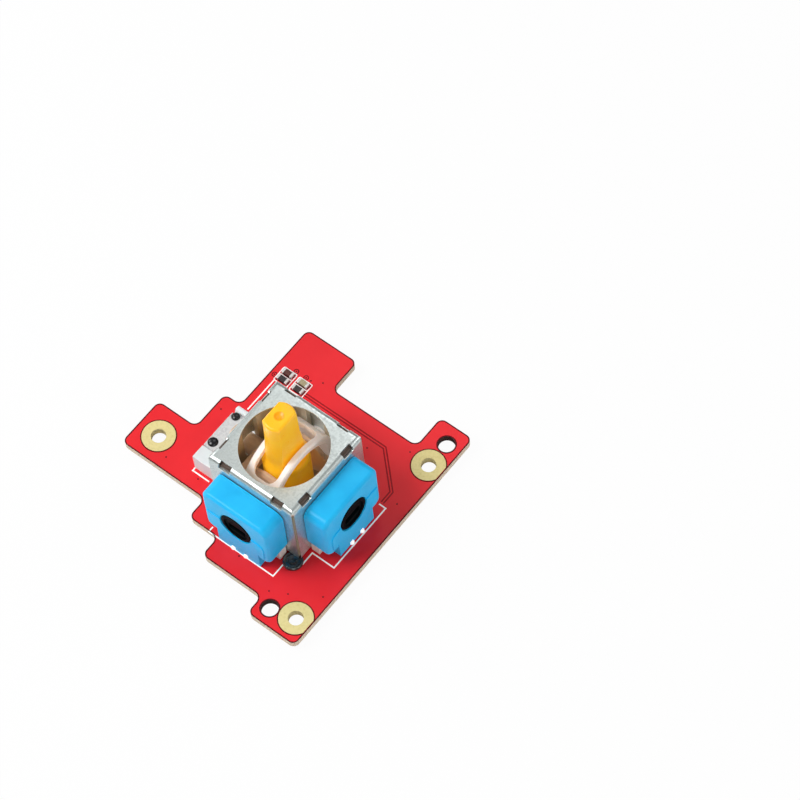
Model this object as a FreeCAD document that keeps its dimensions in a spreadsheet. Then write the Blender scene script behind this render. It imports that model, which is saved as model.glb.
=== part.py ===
"""Analog stick of a game controller, on its own small circuit board. Millimetres, +Z up.

The origin is under the middle of the board, at the level of the lowest soldered tails.
Most pieces of the stick module are drawn in the module's own frame: x and y from the axis
of the stick at rest, z from the top face of the board.
"""
import FreeCAD, Part
import math
import os
import Sketcher
from FreeCAD import Placement, Rotation, Vector

os.makedirs("parts", exist_ok=True)
doc = FreeCAD.newDocument("analog_stick")


class Size:
    """A length with its spreadsheet expression, so that a sum of sizes can be bound to a property."""

    def __init__(self, text, value):
        self.text = text
        self.value = float(value)

    def __add__(self, other):
        other = as_size(other)
        return Size(f"({self.text} + {other.text})", self.value + other.value)

    def __sub__(self, other):
        other = as_size(other)
        return Size(f"({self.text} - {other.text})", self.value - other.value)

    def __mul__(self, other):
        other = as_size(other)
        return Size(f"({self.text} * {other.text})", self.value * other.value)

    def __truediv__(self, other):
        other = as_size(other)
        return Size(f"({self.text} / {other.text})", self.value / other.value)

    def __neg__(self):
        return Size(f"(0 - {self.text})", -self.value)

    def leg(self, other):
        """The other short side of a right triangle whose long side is this size."""
        other = as_size(other)
        text = f"sqrt({self.text} * {self.text} - {other.text} * {other.text})"
        return Size(text, math.sqrt(self.value ** 2 - other.value ** 2))


def as_size(value):
    """Leaves a Size as it is and turns a plain number into one."""
    if isinstance(value, Size):
        return value
    return Size(f"{float(value):g}", value)


DIMENSIONS = (
    # Circuit board, measured from its left end, its lower end and its top face
    ("board_left", 22.00, "board's left end from the stick axis"),
    ("board_right", 13.45, "board's right end from the stick axis"),
    ("board_depth", 35.70, "whole board along Y"),
    ("board_thickness", 1.00, "fibreglass board"),
    ("tail_length", 0.90, "soldered tails below the board"),
    ("left_tab_low", 8.95, "left tab's lower edge above the board's lower end"),
    ("left_tab_width", 7.28, "left tab along Y"),
    ("shoulder_inset", 6.15, "shoulder's edge from the left end"),
    ("shoulder_rise", 5.82, "shoulder above the left tab"),
    ("upper_tab_inset", 8.70, "long left edge from the left end"),
    ("upper_tab_width", 8.15, "upper tab along X"),
    ("notch_depth", 5.00, "notch between the two upper tabs"),
    ("right_tab_width", 5.08, "upper right tab along X"),
    ("lower_tab_width", 7.45, "lower right tab along X"),
    ("lower_tab_rise", 2.73, "lower right tab along Y"),
    ("second_step_width", 9.55, "second step along X"),
    ("second_step_rise", 3.07, "second step along Y"),
    ("first_step_width", 4.75, "first step along X"),
    ("board_outer_radius", 0.90, "outward corners of the board"),
    ("board_inner_radius", 1.00, "inward corners of the board"),
    # Screw pads and locating holes
    ("screw_hole_radius", 1.00, "finished screw hole"),
    ("plating", 0.05, "plated rings on the board's faces"),
    ("pad_radius", 2.20, "ring of plating round a screw hole"),
    ("pad_edge_margin", 0.20, "board left bare beside a clipped pad"),
    ("right_pads_inset", 2.145, "right pads from the right end"),
    ("upper_pad_inset", 6.27, "upper right pad from the upper end"),
    ("lower_pad_inset", 2.98, "lower right pad from the lower end"),
    ("left_pad_inset", 3.25, "left pad from the left end"),
    ("left_pad_rise", 3.40, "left pad above its tab's lower edge"),
    ("peg_hole_radius", 1.14, "plain locating hole"),
    ("upper_peg_inset", 2.58, "upper peg hole from the upper end"),
    ("lower_peg_side_inset", 5.60, "lower peg hole from the right end"),
    ("lower_peg_inset", 2.12, "lower peg hole from the lower end"),
    # Chip parts near the module's back corner
    ("chip_length", 1.60, "chip part along X"),
    ("chip_width", 0.75, "chip part along Y"),
    ("chip_height", 0.45, "chip part"),
    ("chip_end", 0.32, "metal end of a chip part"),
    ("chip_end_lift", 0.03, "metal end proud of the chip's body"),
    ("chips_inset", 2.10, "left chips from the long left edge"),
    ("chips_rise", 12.90, "upper chips from the stick axis"),
    ("chip_column_pitch", 2.50, "between the chips' columns"),
    ("chip_row_pitch", 1.08, "between the chips' rows"),
    # Place of the stick module
    ("module_low_inset", 16.23, "stick axis from the lower end"),
    ("pivot_height", 6.15, "both tilt axes above the board"),
    ("seat_gap", 0.05, "between parts that are pushed together"),
    # Metal cover
    ("cover_width", 13.60, "cover outside, both ways"),
    ("cover_rise", 6.10, "cover's top above the tilt axes"),
    ("cover_wall", 0.30, "steel sheet"),
    ("cover_bend", 0.75, "outside radius of the bends"),
    ("cover_lift", 0.45, "cover's lower edge above the board"),
    ("gate_radius", 5.69, "round opening that limits the stick"),
    ("window_length", 1.75, "latch window in the bend"),
    ("window_reach", 0.72, "latch window in from the side"),
    ("window_drop", 0.95, "latch window down from the top"),
    ("window_spacing", 8.20, "between the two windows of a side"),
    ("corner_slit", 0.24, "slit between two side flaps"),
    ("corner_relief", 0.62, "radius of the relief at a corner's top"),
    ("leg_width", 1.00, "soldered leg of the cover"),
    ("leg_spacing", 11.80, "between the legs of a side"),
    ("leg_hole_gap", 0.12, "board hole past the leg's corner"),
    ("shaft_notch_gap", 0.30, "cover's notch past a shaft"),
    # Plastic base housing
    ("housing_wall", 0.70, "side walls of the base housing"),
    ("housing_floor", 1.00, "floor under the spring foot"),
    ("latch_height", 0.30, "latch in its window"),
    ("latch_inset", 0.25, "latch's end in from the cover's outer face"),
    ("latch_gap", 0.12, "latch to the ends of its window"),
    ("cradle_gap", 0.08, "cradle round a shaft"),
    ("press_room", 0.26, "extra depth of the cradle over the switch"),
    ("bracket_half_width", 4.60, "bracket that holds the switch, each side of the axis"),
    ("bracket_reach", 12.15, "bracket's outer face from the stick axis"),
    ("bracket_height", 3.00, "corner block beside the switch"),
    ("bracket_block", 2.00, "corner block along Y"),
    ("bracket_boss", 0.90, "round boss along Y"),
    # Yokes
    ("shaft_radius", 1.30, "round part of a yoke's shaft"),
    ("blade_width", 2.00, "flat blade that turns a rotor"),
    ("blade_thickness", 0.90, "flat blade that turns a rotor"),
    ("blade_axis", 8.30, "middle of the blade's round end from the stick axis"),
    ("arch_radius", 6.20, "outside of the upper yoke's arch"),
    ("arch_thickness", 0.85, "arch between its two round faces"),
    ("arch_half_width", 2.60, "arch each side of the axis"),
    ("arch_slot_half_width", 1.80, "slot that the stick's flats ride in"),
    ("arch_slot_half_length", 4.55, "slot each side of the axis"),
    ("arch_slot_round", 1.20, "corners of the slot"),
    ("arch_end_inside", 4.85, "inner face of the arch's end plates"),
    ("arch_end_outside", 5.60, "outer face of the arch's end plates"),
    ("arch_edge", 0.18, "bevelled long edges of the arch"),
    ("ear_radius", 3.60, "round ears of the lower yoke"),
    ("ear_inside", 3.10, "inner faces of the ears"),
    ("ear_outside", 3.90, "outer faces of the ears"),
    ("ear_bevel", 0.45, "bevel on an ear's outer edge"),
    ("frame_inside", 3.80, "lower yoke's end walls, inner face"),
    ("frame_outside", 4.50, "lower yoke's end walls, outer face"),
    ("frame_half_height", 1.60, "lower yoke's frame above and below the axis"),
    ("press_tip_reach", 8.80, "lower yoke's pressing end from the stick axis"),
    # Stick
    ("post_radius", 2.10, "round sides of the stick's post"),
    ("post_flat_half_width", 1.38, "flat sides of the stick's post"),
    ("post_top", 13.75, "top of the post above the tilt axes"),
    ("post_bevel", 0.35, "rounded top edge of the post"),
    ("post_foot_radius", 2.18, "post where its neck starts"),
    ("post_foot_height", 9.40, "start of the neck above the tilt axes"),
    ("neck_radius", 2.36, "neck just above the arch"),
    ("neck_height", 7.30, "neck's waist above the tilt axes"),
    ("shoulder_top_radius", 2.50, "neck where it meets the shoulder"),
    ("shoulder_top", 4.90, "top of the shoulder above the tilt axes"),
    ("flats_end", 4.35, "lower end of the flats above the tilt axes"),
    ("skirt_radius", 3.00, "round skirt of the stick"),
    ("skirt_top", 4.00, "top of the skirt above the tilt axes"),
    ("skirt_drop", 2.60, "lower end of the skirt below the tilt axes"),
    ("bore_radius", 2.40, "bore for the spring"),
    ("bore_top", 3.30, "top of the bore above the tilt axes"),
    ("dimple_radius", 0.62, "round dimple in the post's top"),
    ("dimple_depth", 0.25, "round dimple in the post's top"),
    ("pin_radius", 0.80, "stick's hinge pins"),
    ("pin_gap", 0.05, "hinge pin in its hole"),
    # Return spring and its foot
    ("spring_radius", 1.75, "middle of the spring wire"),
    ("wire_radius", 0.22, "spring wire"),
    ("spring_turns", 4.50, "turns of the return spring"),
    ("foot_flange_radius", 2.30, "foot's flange in the bore"),
    ("foot_flange_top", 1.30, "top of the flange below the tilt axes"),
    ("foot_flange_thickness", 0.90, "foot's flange"),
    ("foot_pilot_radius", 1.30, "foot's pilot inside the spring"),
    ("foot_pilot_length", 1.60, "foot's pilot inside the spring"),
    ("foot_radius", 1.90, "foot below its flange"),
    ("foot_gap", 0.05, "foot to the floor"),
    # Tilt sensors, measured outwards from the stick axis
    ("sensor_gap", 0.10, "sensor to the cover"),
    ("sensor_face", 10.28, "sensor's upper front face"),
    ("sensor_half_width", 5.15, "sensor each side of its axis"),
    ("sensor_rise", 4.20, "sensor's top above its tilt axis"),
    ("sensor_wall", 0.55, "sensor housing's walls"),
    ("sensor_front_wall", 0.68, "sensor housing's front wall"),
    ("sensor_round", 1.20, "rounded corners of the sensor housing"),
    ("sensor_rim", 0.55, "rounded rim of the sensor's front face"),
    ("sensor_drop", 4.15, "where the housing narrows, below its tilt axis"),
    ("sensor_foot_half_width", 3.30, "narrow lower part of the housing"),
    ("sensor_foot_back", 8.25, "back of the narrow lower part"),
    ("plateau_lift", 0.14, "raised lower face"),
    ("plateau_near", 4.30, "raised lower face, towards the other sensor"),
    ("plateau_far", 4.55, "raised lower face, away from the other sensor"),
    ("plateau_rise", 0.10, "top of the raised lower face above the tilt axis"),
    ("plateau_round", 0.90, "raised lower face's corner towards the other sensor"),
    ("rotor_window", 2.46, "round window in the front face"),
    ("window_sill", 2.38, "window's flat sill below the tilt axis"),
    ("notch_half_spacing", 1.00, "notches in the lower edge"),
    ("notch_width", 0.75, "notches in the lower edge"),
    ("notch_height", 0.65, "notches in the lower edge"),
    ("carrier_thickness", 0.60, "white back plate"),
    ("carrier_half_width", 4.50, "white back plate"),
    ("carrier_foot_half_width", 4.70, "foot of the back plate"),
    ("carrier_foot_front", 8.20, "foot of the back plate"),
    ("carrier_hole_gap", 0.20, "back plate's hole round the shaft"),
    ("element_thickness", 0.40, "resistive element"),
    ("element_half_width", 4.30, "resistive element"),
    ("element_hole", 2.20, "hole in the resistive element"),
    ("rotor_back", 7.60, "back of the rotor"),
    ("rotor_hub", 1.90, "rotor's hub"),
    ("rotor_flange_back", 8.45, "back of the rotor's flange"),
    ("rotor_flange_front", 9.30, "front of the rotor's flange"),
    ("rotor_flange", 3.50, "rotor's flange"),
    ("rotor_nose", 2.32, "rotor's nose in the window"),
    ("rotor_face", 10.32, "rotor's front face"),
    ("rotor_dish", 1.86, "round dish in the rotor's face"),
    ("rotor_dish_depth", 0.22, "round dish in the rotor's face"),
    ("rotor_slot_width", 2.60, "slot in the dish, along the board"),
    ("rotor_slot_height", 1.05, "slot in the dish, upright"),
    ("rotor_slot_drop", 0.55, "middle of the slot below the tilt axis"),
    ("rotor_slot_depth", 0.45, "slot below the dish"),
    ("key_gap", 0.06, "blade in the rotor's socket"),
    ("wiper_thickness", 0.15, "sheet metal wiper"),
    ("wiper_outside", 3.30, "wiper ring"),
    ("wiper_inside", 2.00, "wiper ring"),
    ("contact_radius", 0.25, "wiper's contacts"),
    ("contact_gap", 0.02, "wiper's contacts to the element"),
    ("pin_width", 0.60, "terminal strip"),
    ("pin_thickness", 0.25, "terminal strip"),
    ("front_pin_reach", 9.40, "front terminals from the stick axis"),
    ("rear_pin_reach", 8.00, "middle terminal from the stick axis"),
    ("pin_hole_gap", 0.10, "board hole past a terminal's corner"),
    # Push switch under the lower yoke's end
    ("switch_outer", 12.00, "switch's outer face from the stick axis"),
    ("switch_inner", 6.50, "switch's inner face from the stick axis"),
    ("switch_low", 2.50, "switch below the axis, along Y"),
    ("switch_high", 3.65, "switch above the axis, along Y"),
    ("switch_height", 2.75, "switch body"),
    ("switch_plate", 0.20, "metal plate on the switch"),
    ("switch_plate_drop", 1.90, "plate's folded edge"),
    ("plate_low_inset", 0.10, "plate in from the switch's lower side"),
    ("plate_high_inset", 0.40, "plate in from the switch's upper side"),
    ("switch_well", 1.60, "round well in the body"),
    ("switch_well_floor", 1.20, "well's floor above the board"),
    ("stake_inset", 0.62, "staked pegs from the outer face"),
    ("stake_radius", 0.56, "staked pegs"),
    ("stake_low", 1.48, "first peg below the axis, along Y"),
    ("stake_high", 3.05, "second peg above the axis, along Y"),
    ("stake_lift", 0.10, "pegs proud of the plate"),
    ("stake_gap", 0.05, "plate's holes round the pegs"),
    ("plunger_reach", 8.30, "plunger from the stick axis"),
    ("plunger_radius", 0.90, "plunger"),
    ("plunger_flange", 1.40, "plunger's flange"),
    ("plunger_flange_top", 2.55, "plunger's flange above the board"),
    ("plunger_flange_thickness", 0.50, "plunger's flange"),
    ("plunger_gap", 0.10, "plate's hole round the plunger"),
    ("plunger_bevel", 0.10, "bevelled top edge of the plunger"),
    ("press_gap", 0.02, "plunger to the yoke's end"),
    ("dome_radius", 1.50, "snap dome"),
    ("dome_rise", 0.35, "snap dome"),
    ("dome_thickness", 0.10, "snap dome"),
    ("terminal_inset", 1.00, "switch terminals from its ends"),
    # Solder
    ("solder_disc_radius", 1.45, "solder on the cover's front leg"),
    ("solder_disc_height", 0.45, "solder on the cover's front leg"),
    ("solder_disc_offset", 1.20, "disc's middle in front of the leg's middle"),
    ("solder_disc_shift", 0.45, "disc's middle beside the leg's middle"),
    ("fillet_radius", 0.80, "solder under the board, at the board"),
    ("fillet_tip_radius", 0.55, "solder under the board, at its tip"),
    ("fillet_height", 0.60, "solder under the board"),
)

sheet = doc.addObject("Spreadsheet::Sheet", "sizes")
sheet.Label = "sizes"


class Dimensions:
    """Every driving dimension as an attribute, each bound to its own cell of the spreadsheet."""

    def __init__(self, table):
        for row, (name, value, meaning) in enumerate(table, start=1):
            sheet.set(f"A{row}", name)
            sheet.set(f"B{row}", str(value))
            sheet.set(f"C{row}", meaning)
            sheet.setAlias(f"B{row}", name)
            setattr(self, name, Size(f"sizes.{name}", value))


size = Dimensions(DIMENSIONS)
doc.recompute()


# Outlines: each function draws one closed shape in a sketch and ties it to the sizes

def bind_point(sketch, name, geometry, point, place):
    """Ties one point of a sketch to its two coordinates."""
    for kind, coordinate in zip(("DistanceX", "DistanceY"), place):
        coordinate = as_size(coordinate)
        index = sketch.addConstraint(Sketcher.Constraint(kind, -1, 1, geometry, point, coordinate.value))
        label = f"{name}_{kind}"
        sketch.renameConstraint(index, label)
        sketch.setExpression(f"Constraints.{label}", coordinate.text)


def polygon(*corners):
    """A closed outline of straight lines through the corners."""
    def draw(sketch, name):
        places = [(as_size(x), as_size(y)) for x, y in corners]
        first = sketch.GeometryCount
        count = len(places)
        for index, (x, y) in enumerate(places):
            x_next, y_next = places[(index + 1) % count]
            start = Vector(x.value, y.value, 0)
            end = Vector(x_next.value, y_next.value, 0)
            sketch.addGeometry(Part.LineSegment(start, end), False)
        for index in range(count):
            following = first + (index + 1) % count
            sketch.addConstraint(Sketcher.Constraint("Coincident", first + index, 2, following, 1))
        for index, place in enumerate(places):
            bind_point(sketch, f"{name}_{index}", first + index, 1, place)
    return draw


def rectangle(x_low, x_high, y_low, y_high):
    """A rectangle between two corners."""
    return polygon((x_low, y_low), (x_high, y_low), (x_high, y_high), (x_low, y_high))


def centred(half_x, half_y, x=0, y=0):
    """A rectangle round its own centre."""
    x, y, half_x, half_y = as_size(x), as_size(y), as_size(half_x), as_size(half_y)
    return rectangle(x - half_x, x + half_x, y - half_y, y + half_y)


def circle(radius, x=0, y=0):
    """A full circle."""
    def draw(sketch, name):
        centre = (as_size(x), as_size(y))
        round_size = as_size(radius)
        middle = Vector(centre[0].value, centre[1].value, 0)
        index = sketch.addGeometry(Part.Circle(middle, Vector(0, 0, 1), round_size.value), False)
        bind_point(sketch, name, index, 3, centre)
        constraint = sketch.addConstraint(Sketcher.Constraint("Radius", index, round_size.value))
        sketch.renameConstraint(constraint, f"{name}_radius")
        sketch.setExpression(f"Constraints.{name}_radius", round_size.text)
    return draw


class Piece:
    """One physical piece, a body of sketched features that are cut or padded along X, Y or Z."""

    PLANES = {"x": "YZ_Plane", "y": "XZ_Plane", "z": "XY_Plane"}

    def __init__(self, label, place, turn=0.0):
        self.body = doc.addObject("PartDesign::Body", label)
        self.body.Label = label
        self.body.Placement = Placement(Vector(), Rotation(Vector(0, 0, 1), turn))
        for coordinate, value in zip("xyz", place):
            self.body.setExpression(f"Placement.Base.{coordinate}", as_size(value).text)
        self.count = 0

    def name(self, kind):
        """A fresh object name inside the document."""
        self.count += 1
        return f"{self.body.Name}_{kind}_{self.count}"

    def sketch(self, axis, outlines, level):
        """A sketch across the given axis, at a level along that axis."""
        plane = [face for face in self.body.Origin.OriginFeatures if face.Role == self.PLANES[axis]][0]
        sketch = self.body.newObject("Sketcher::SketchObject", self.name("outline"))
        sketch.AttachmentSupport = [(plane, "")]
        sketch.MapMode = "FlatFace"
        level = as_size(level)
        # The XZ plane faces -Y
        along = -level if axis == "y" else level
        sketch.setExpression("AttachmentOffset.Base.z", along.text)
        for index, outline in enumerate(outlines):
            outline(sketch, f"shape{index}")
        return sketch

    def pad(self, axis, low, high, *outlines):
        """Adds the outlines between two levels."""
        low, high = as_size(low), as_size(high)
        sketch = self.sketch(axis, outlines, high if axis == "y" else low)
        feature = self.body.newObject("PartDesign::Pad", self.name("pad"))
        feature.Profile = sketch
        feature.setExpression("Length", (high - low).text)
        doc.recompute()
        return self

    def cut(self, axis, low, high, *outlines):
        """Removes the outlines between two levels."""
        low, high = as_size(low), as_size(high)
        sketch = self.sketch(axis, outlines, low if axis == "y" else high)
        feature = self.body.newObject("PartDesign::Pocket", self.name("cut"))
        feature.Profile = sketch
        feature.setExpression("Length", (high - low).text)
        doc.recompute()
        return self

    def turned(self, line, *outlines):
        """Adds the outlines of the XZ plane turned round its vertical or horizontal axis."""
        sketch = self.sketch("y", outlines, 0)
        feature = self.body.newObject("PartDesign::Revolution", self.name("turned"))
        feature.Profile = sketch
        feature.ReferenceAxis = (sketch, [{"z": "V_Axis", "x": "H_Axis"}[line]])
        feature.Angle = 360
        doc.recompute()
        return self

    def edges(self, picked):
        """Names of the edges of the present shape for which the test holds."""
        shape = self.body.Tip.Shape
        return [f"Edge{index}" for index, edge in enumerate(shape.Edges, start=1) if picked(edge)]

    def finish_edges(self, kind, radius, picked):
        """Rounds or bevels the picked edges."""
        tip = self.body.Tip
        names = self.edges(picked)
        if not names:
            raise RuntimeError(f"{self.body.Label} has no edge to finish")
        feature = self.body.newObject(f"PartDesign::{kind}", self.name(kind.lower()))
        feature.Base = (tip, names)
        feature.setExpression("Radius" if kind == "Fillet" else "Size", as_size(radius).text)
        doc.recompute()
        return self

    def fillet(self, radius, picked):
        """Rounds the picked edges."""
        return self.finish_edges("Fillet", radius, picked)

    def chamfer(self, width, picked):
        """Bevels the picked edges."""
        return self.finish_edges("Chamfer", width, picked)


TOUCH = 1e-4
# Half the side of an octagon, as a share of the distance from its middle to that side
OCTAGON_SIDE = math.sqrt(2) - 1
# Where the foot's domed sole is drawn, as shares of its radius
SOLE_SHARES = (1, 0.75, 0.5, 0.25)


def near(value, target):
    """Whether a coordinate is on a target, given as a size or a number."""
    return abs(value - as_size(target).value) < TOUCH


def runs_along(edge, axis):
    """Whether a straight edge runs along one axis."""
    box = edge.BoundBox
    spans = {"x": box.XLength, "y": box.YLength, "z": box.ZLength}
    along = spans.pop(axis)
    return along > TOUCH and all(span < TOUCH for span in spans.values())


def at_corner(edge, corners):
    """Whether an upright edge stands on one of the corners of a plan."""
    box = edge.BoundBox
    if not runs_along(edge, "z"):
        return False
    return any(near(box.XMin, x) and near(box.YMin, y) for x, y in corners)


# Places that several pieces share

board_top = size.tail_length + size.board_thickness
right_end = (size.board_left + size.board_right) / 2
left_end = -right_end
lower_end = -(size.board_depth / 2)
upper_end = size.board_depth / 2
module_x = right_end - size.board_right
module_y = lower_end + size.module_low_inset
module_place = (module_x, module_y, board_top)
pivot_place = (module_x, module_y, board_top + size.pivot_height)
tail_end = -(size.board_thickness + size.tail_length)
cover_top = size.pivot_height + size.cover_rise
sensor_top = size.pivot_height + size.sensor_rise
sensor_step = size.pivot_height - size.sensor_drop

left_tab_low = lower_end + size.left_tab_low
left_tab_high = left_tab_low + size.left_tab_width
pads = {
    "left": (left_end + size.left_pad_inset, left_tab_low + size.left_pad_rise),
    "right": (right_end - size.right_pads_inset, upper_end - size.upper_pad_inset),
    "lower": (right_end - size.right_pads_inset, lower_end + size.lower_pad_inset),
}
peg_holes = (
    (right_end - size.right_pads_inset, upper_end - size.upper_peg_inset),
    (right_end - size.lower_peg_side_inset, lower_end + size.lower_peg_inset),
)

half_cover = size.cover_width / 2
inside_cover = half_cover - size.cover_wall
half_housing = inside_cover - size.seat_gap
sensor_back = half_cover + size.sensor_gap
leg_middle = half_cover - size.cover_wall / 2
sides = (1, -1)
legs = [(size.leg_spacing / 2 * x, leg_middle * y) for x in sides for y in sides]
sensor_pins = (
    (size.front_pin_reach, -size.notch_half_spacing),
    (size.front_pin_reach, size.notch_half_spacing),
    (size.rear_pin_reach, as_size(0)),
)
SENSOR_TURNS = {"x_sensor": 0.0, "y_sensor": -90.0}
# The side of each sensor, as drawn, that looks to the other sensor
NEAR_SIDES = {"x_sensor": -1, "y_sensor": 1}
switch_pins = [
    (-(size.switch_outer - size.terminal_inset), -(size.switch_low - size.terminal_inset)),
    (-(size.switch_outer - size.terminal_inset), size.switch_high - size.terminal_inset),
    (-(size.switch_inner + size.terminal_inset), -(size.switch_low - size.terminal_inset)),
    (-(size.switch_inner + size.terminal_inset), size.switch_high - size.terminal_inset),
]


def on_board(x, y, turn=0.0):
    """A place of the module, turned by a right angle or not, in the frame of the board."""
    if turn:
        x, y = y, -x
    return module_x + x, module_y + y


def strip_corner():
    """Distance from the middle of a terminal strip to its corner."""
    half = size.pin_width / 2
    return Size(f"sqrt({half.text} ^ 2 + ({size.pin_thickness.text} / 2) ^ 2)",
                math.hypot(half.value, size.pin_thickness.value / 2))


def leg_corner():
    """Distance from the middle of a cover's leg to its corner."""
    half = size.leg_width / 2
    return Size(f"sqrt({half.text} ^ 2 + ({size.cover_wall.text} / 2) ^ 2)",
                math.hypot(half.value, size.cover_wall.value / 2))


pin_places = [on_board(x, y, turn) for turn in SENSOR_TURNS.values() for x, y in sensor_pins]
pin_places += [on_board(x, y) for x, y in switch_pins]
leg_places = [on_board(x, y) for x, y in legs]


def make_circuit_board():
    """The red board: three tabs, a notch and steps, with every hole drilled."""
    shoulder_x = left_end + size.shoulder_inset
    shoulder_y = left_tab_high + size.shoulder_rise
    upper_left = left_end + size.upper_tab_inset
    upper_right = upper_left + size.upper_tab_width
    notch_floor = upper_end - size.notch_depth
    right_tab = right_end - size.right_tab_width
    lower_tab = right_end - size.lower_tab_width
    second_x = lower_tab - size.second_step_width
    second_y = lower_end + size.lower_tab_rise
    first_x = second_x - size.first_step_width
    first_y = second_y + size.second_step_rise
    outward = [
        (left_end, left_tab_low), (left_end, left_tab_high), (shoulder_x, shoulder_y),
        (upper_left, upper_end), (upper_right, upper_end), (right_tab, upper_end),
        (right_end, upper_end), (right_end, lower_end), (lower_tab, lower_end),
        (second_x, second_y), (first_x, first_y),
    ]
    inward = [
        (shoulder_x, left_tab_high), (upper_left, shoulder_y), (upper_right, notch_floor),
        (right_tab, notch_floor), (lower_tab, second_y), (second_x, first_y), (first_x, left_tab_low),
    ]
    board = Piece("circuit_board", (0, 0, size.tail_length))
    board.pad("z", 0, size.board_thickness, polygon(
        (left_end, left_tab_low), (left_end, left_tab_high), (shoulder_x, left_tab_high),
        (shoulder_x, shoulder_y), (upper_left, shoulder_y), (upper_left, upper_end),
        (upper_right, upper_end), (upper_right, notch_floor), (right_tab, notch_floor),
        (right_tab, upper_end), (right_end, upper_end), (right_end, lower_end),
        (lower_tab, lower_end), (lower_tab, second_y), (second_x, second_y), (second_x, first_y),
        (first_x, first_y), (first_x, left_tab_low)))
    board.fillet(size.board_outer_radius, lambda edge: at_corner(edge, outward))
    board.fillet(size.board_inner_radius, lambda edge: at_corner(edge, inward))
    holes = [circle(size.screw_hole_radius, x, y) for x, y in pads.values()]
    holes += [circle(size.peg_hole_radius, x, y) for x, y in peg_holes]
    holes += [circle(strip_corner() + size.pin_hole_gap, x, y) for x, y in pin_places]
    holes += [circle(leg_corner() + size.leg_hole_gap, x, y) for x, y in leg_places]
    board.cut("z", 0, size.board_thickness, *holes)
    return board


def make_screw_pad(side):
    """Bare plated rings round one screw hole, one on each face of the board."""
    x, y = pads[side]
    bare = right_end - size.pad_edge_margin - x
    far = size.pad_radius * 2
    rings = []
    for face, level in (("lower", -size.plating), ("upper", size.board_thickness)):
        ring = Piece(f"screw_pad_{side}_{face}", (x, y, size.tail_length))
        ring.pad("z", level, level + size.plating, circle(size.pad_radius), circle(size.screw_hole_radius))
        if bare.value < size.pad_radius.value:
            ring.cut("z", level, level + size.plating, rectangle(bare, far, -far, far))
        rings.append(ring)
    return group(f"screw_pad_{side}", rings)


def make_chip(index):
    """One chip part: a flat body with a metal end on each side."""
    column, row = index % 2, index // 2
    x = left_end + size.upper_tab_inset + size.chips_inset + size.chip_column_pitch * column
    y = module_y + size.chips_rise - size.chip_row_pitch * row
    chip = Piece(f"chip_{index + 1}", (x, y, board_top))
    half_x, half_y = size.chip_length / 2, size.chip_width / 2
    lift = size.chip_end_lift
    chip.pad("z", lift, size.chip_height - lift, centred(half_x - lift, half_y - lift))
    for side in sides:
        middle = (half_x - size.chip_end / 2) * side
        chip.pad("z", 0, size.chip_height, centred(size.chip_end / 2, half_y, middle, 0))
    return chip


def make_top_cover():
    """Stamped steel cover: a square cap with a round gate, latch windows, four flaps and legs."""
    cover = Piece("top_cover", module_place)
    top = cover_top
    lift = size.cover_lift
    ceiling = top - size.cover_wall
    cover.pad("z", lift, top, centred(half_cover, half_cover))
    cover.fillet(size.cover_bend, lambda edge: flat_at(edge, top))
    cover.cut("z", lift, ceiling, centred(inside_cover, inside_cover))
    cover.fillet(size.cover_bend - size.cover_wall, lambda edge: flat_at(edge, ceiling))
    cover.cut("z", ceiling, top, circle(size.gate_radius))
    half_window = size.window_length / 2
    for side in sides:
        middle = size.window_spacing / 2 * side
        for outer in sides:
            edge_in, edge_out = sorted(((half_cover - size.window_reach) * outer, half_cover * outer),
                                       key=lambda place: place.value)
            low, high = middle - half_window, middle + half_window
            cover.cut("z", top - size.window_drop, top, rectangle(low, high, edge_in, edge_out))
            cover.cut("z", top - size.window_drop, top, rectangle(edge_in, edge_out, low, high))
    # A slit between two flaps, with a notch in the bend where it ends
    slit, relief = size.corner_slit, size.corner_relief
    for x in sides:
        for y in sides:
            cover.cut("z", lift, top - size.cover_bend, polygon(
                ((inside_cover - slit) * x, inside_cover * y), (inside_cover * x, (inside_cover - slit) * y),
                ((half_cover + slit) * x, half_cover * y), (half_cover * x, (half_cover + slit) * y)))
            cover.cut("z", top - size.cover_bend, top, polygon(
                ((half_cover - relief) * x, (half_cover + slit) * y),
                ((half_cover + slit) * x, (half_cover - relief) * y),
                ((half_cover + slit) * x, (half_cover + slit) * y)))
    notch = size.shaft_radius + size.shaft_notch_gap
    for axis, low, high in (("x", -half_cover, half_cover), ("y", -half_cover, -inside_cover)):
        cover.cut(axis, low, high, rectangle(-notch, notch, lift, size.pivot_height))
        cover.cut(axis, low, high, circle(notch, 0, size.pivot_height))
    side_room = size.bracket_half_width + size.seat_gap * 2
    cover.cut("x", -half_cover, -inside_cover,
              rectangle(-side_room, side_room, lift, size.bracket_height + size.seat_gap * 2))
    for x, y in legs:
        cover.pad("z", tail_end, lift, centred(size.leg_width / 2, size.cover_wall / 2, x, y))
    return cover


def flat_at(edge, level):
    """Whether an edge lies flat at a height."""
    box = edge.BoundBox
    return near(box.ZMin, level) and near(box.ZMax, level)


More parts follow.
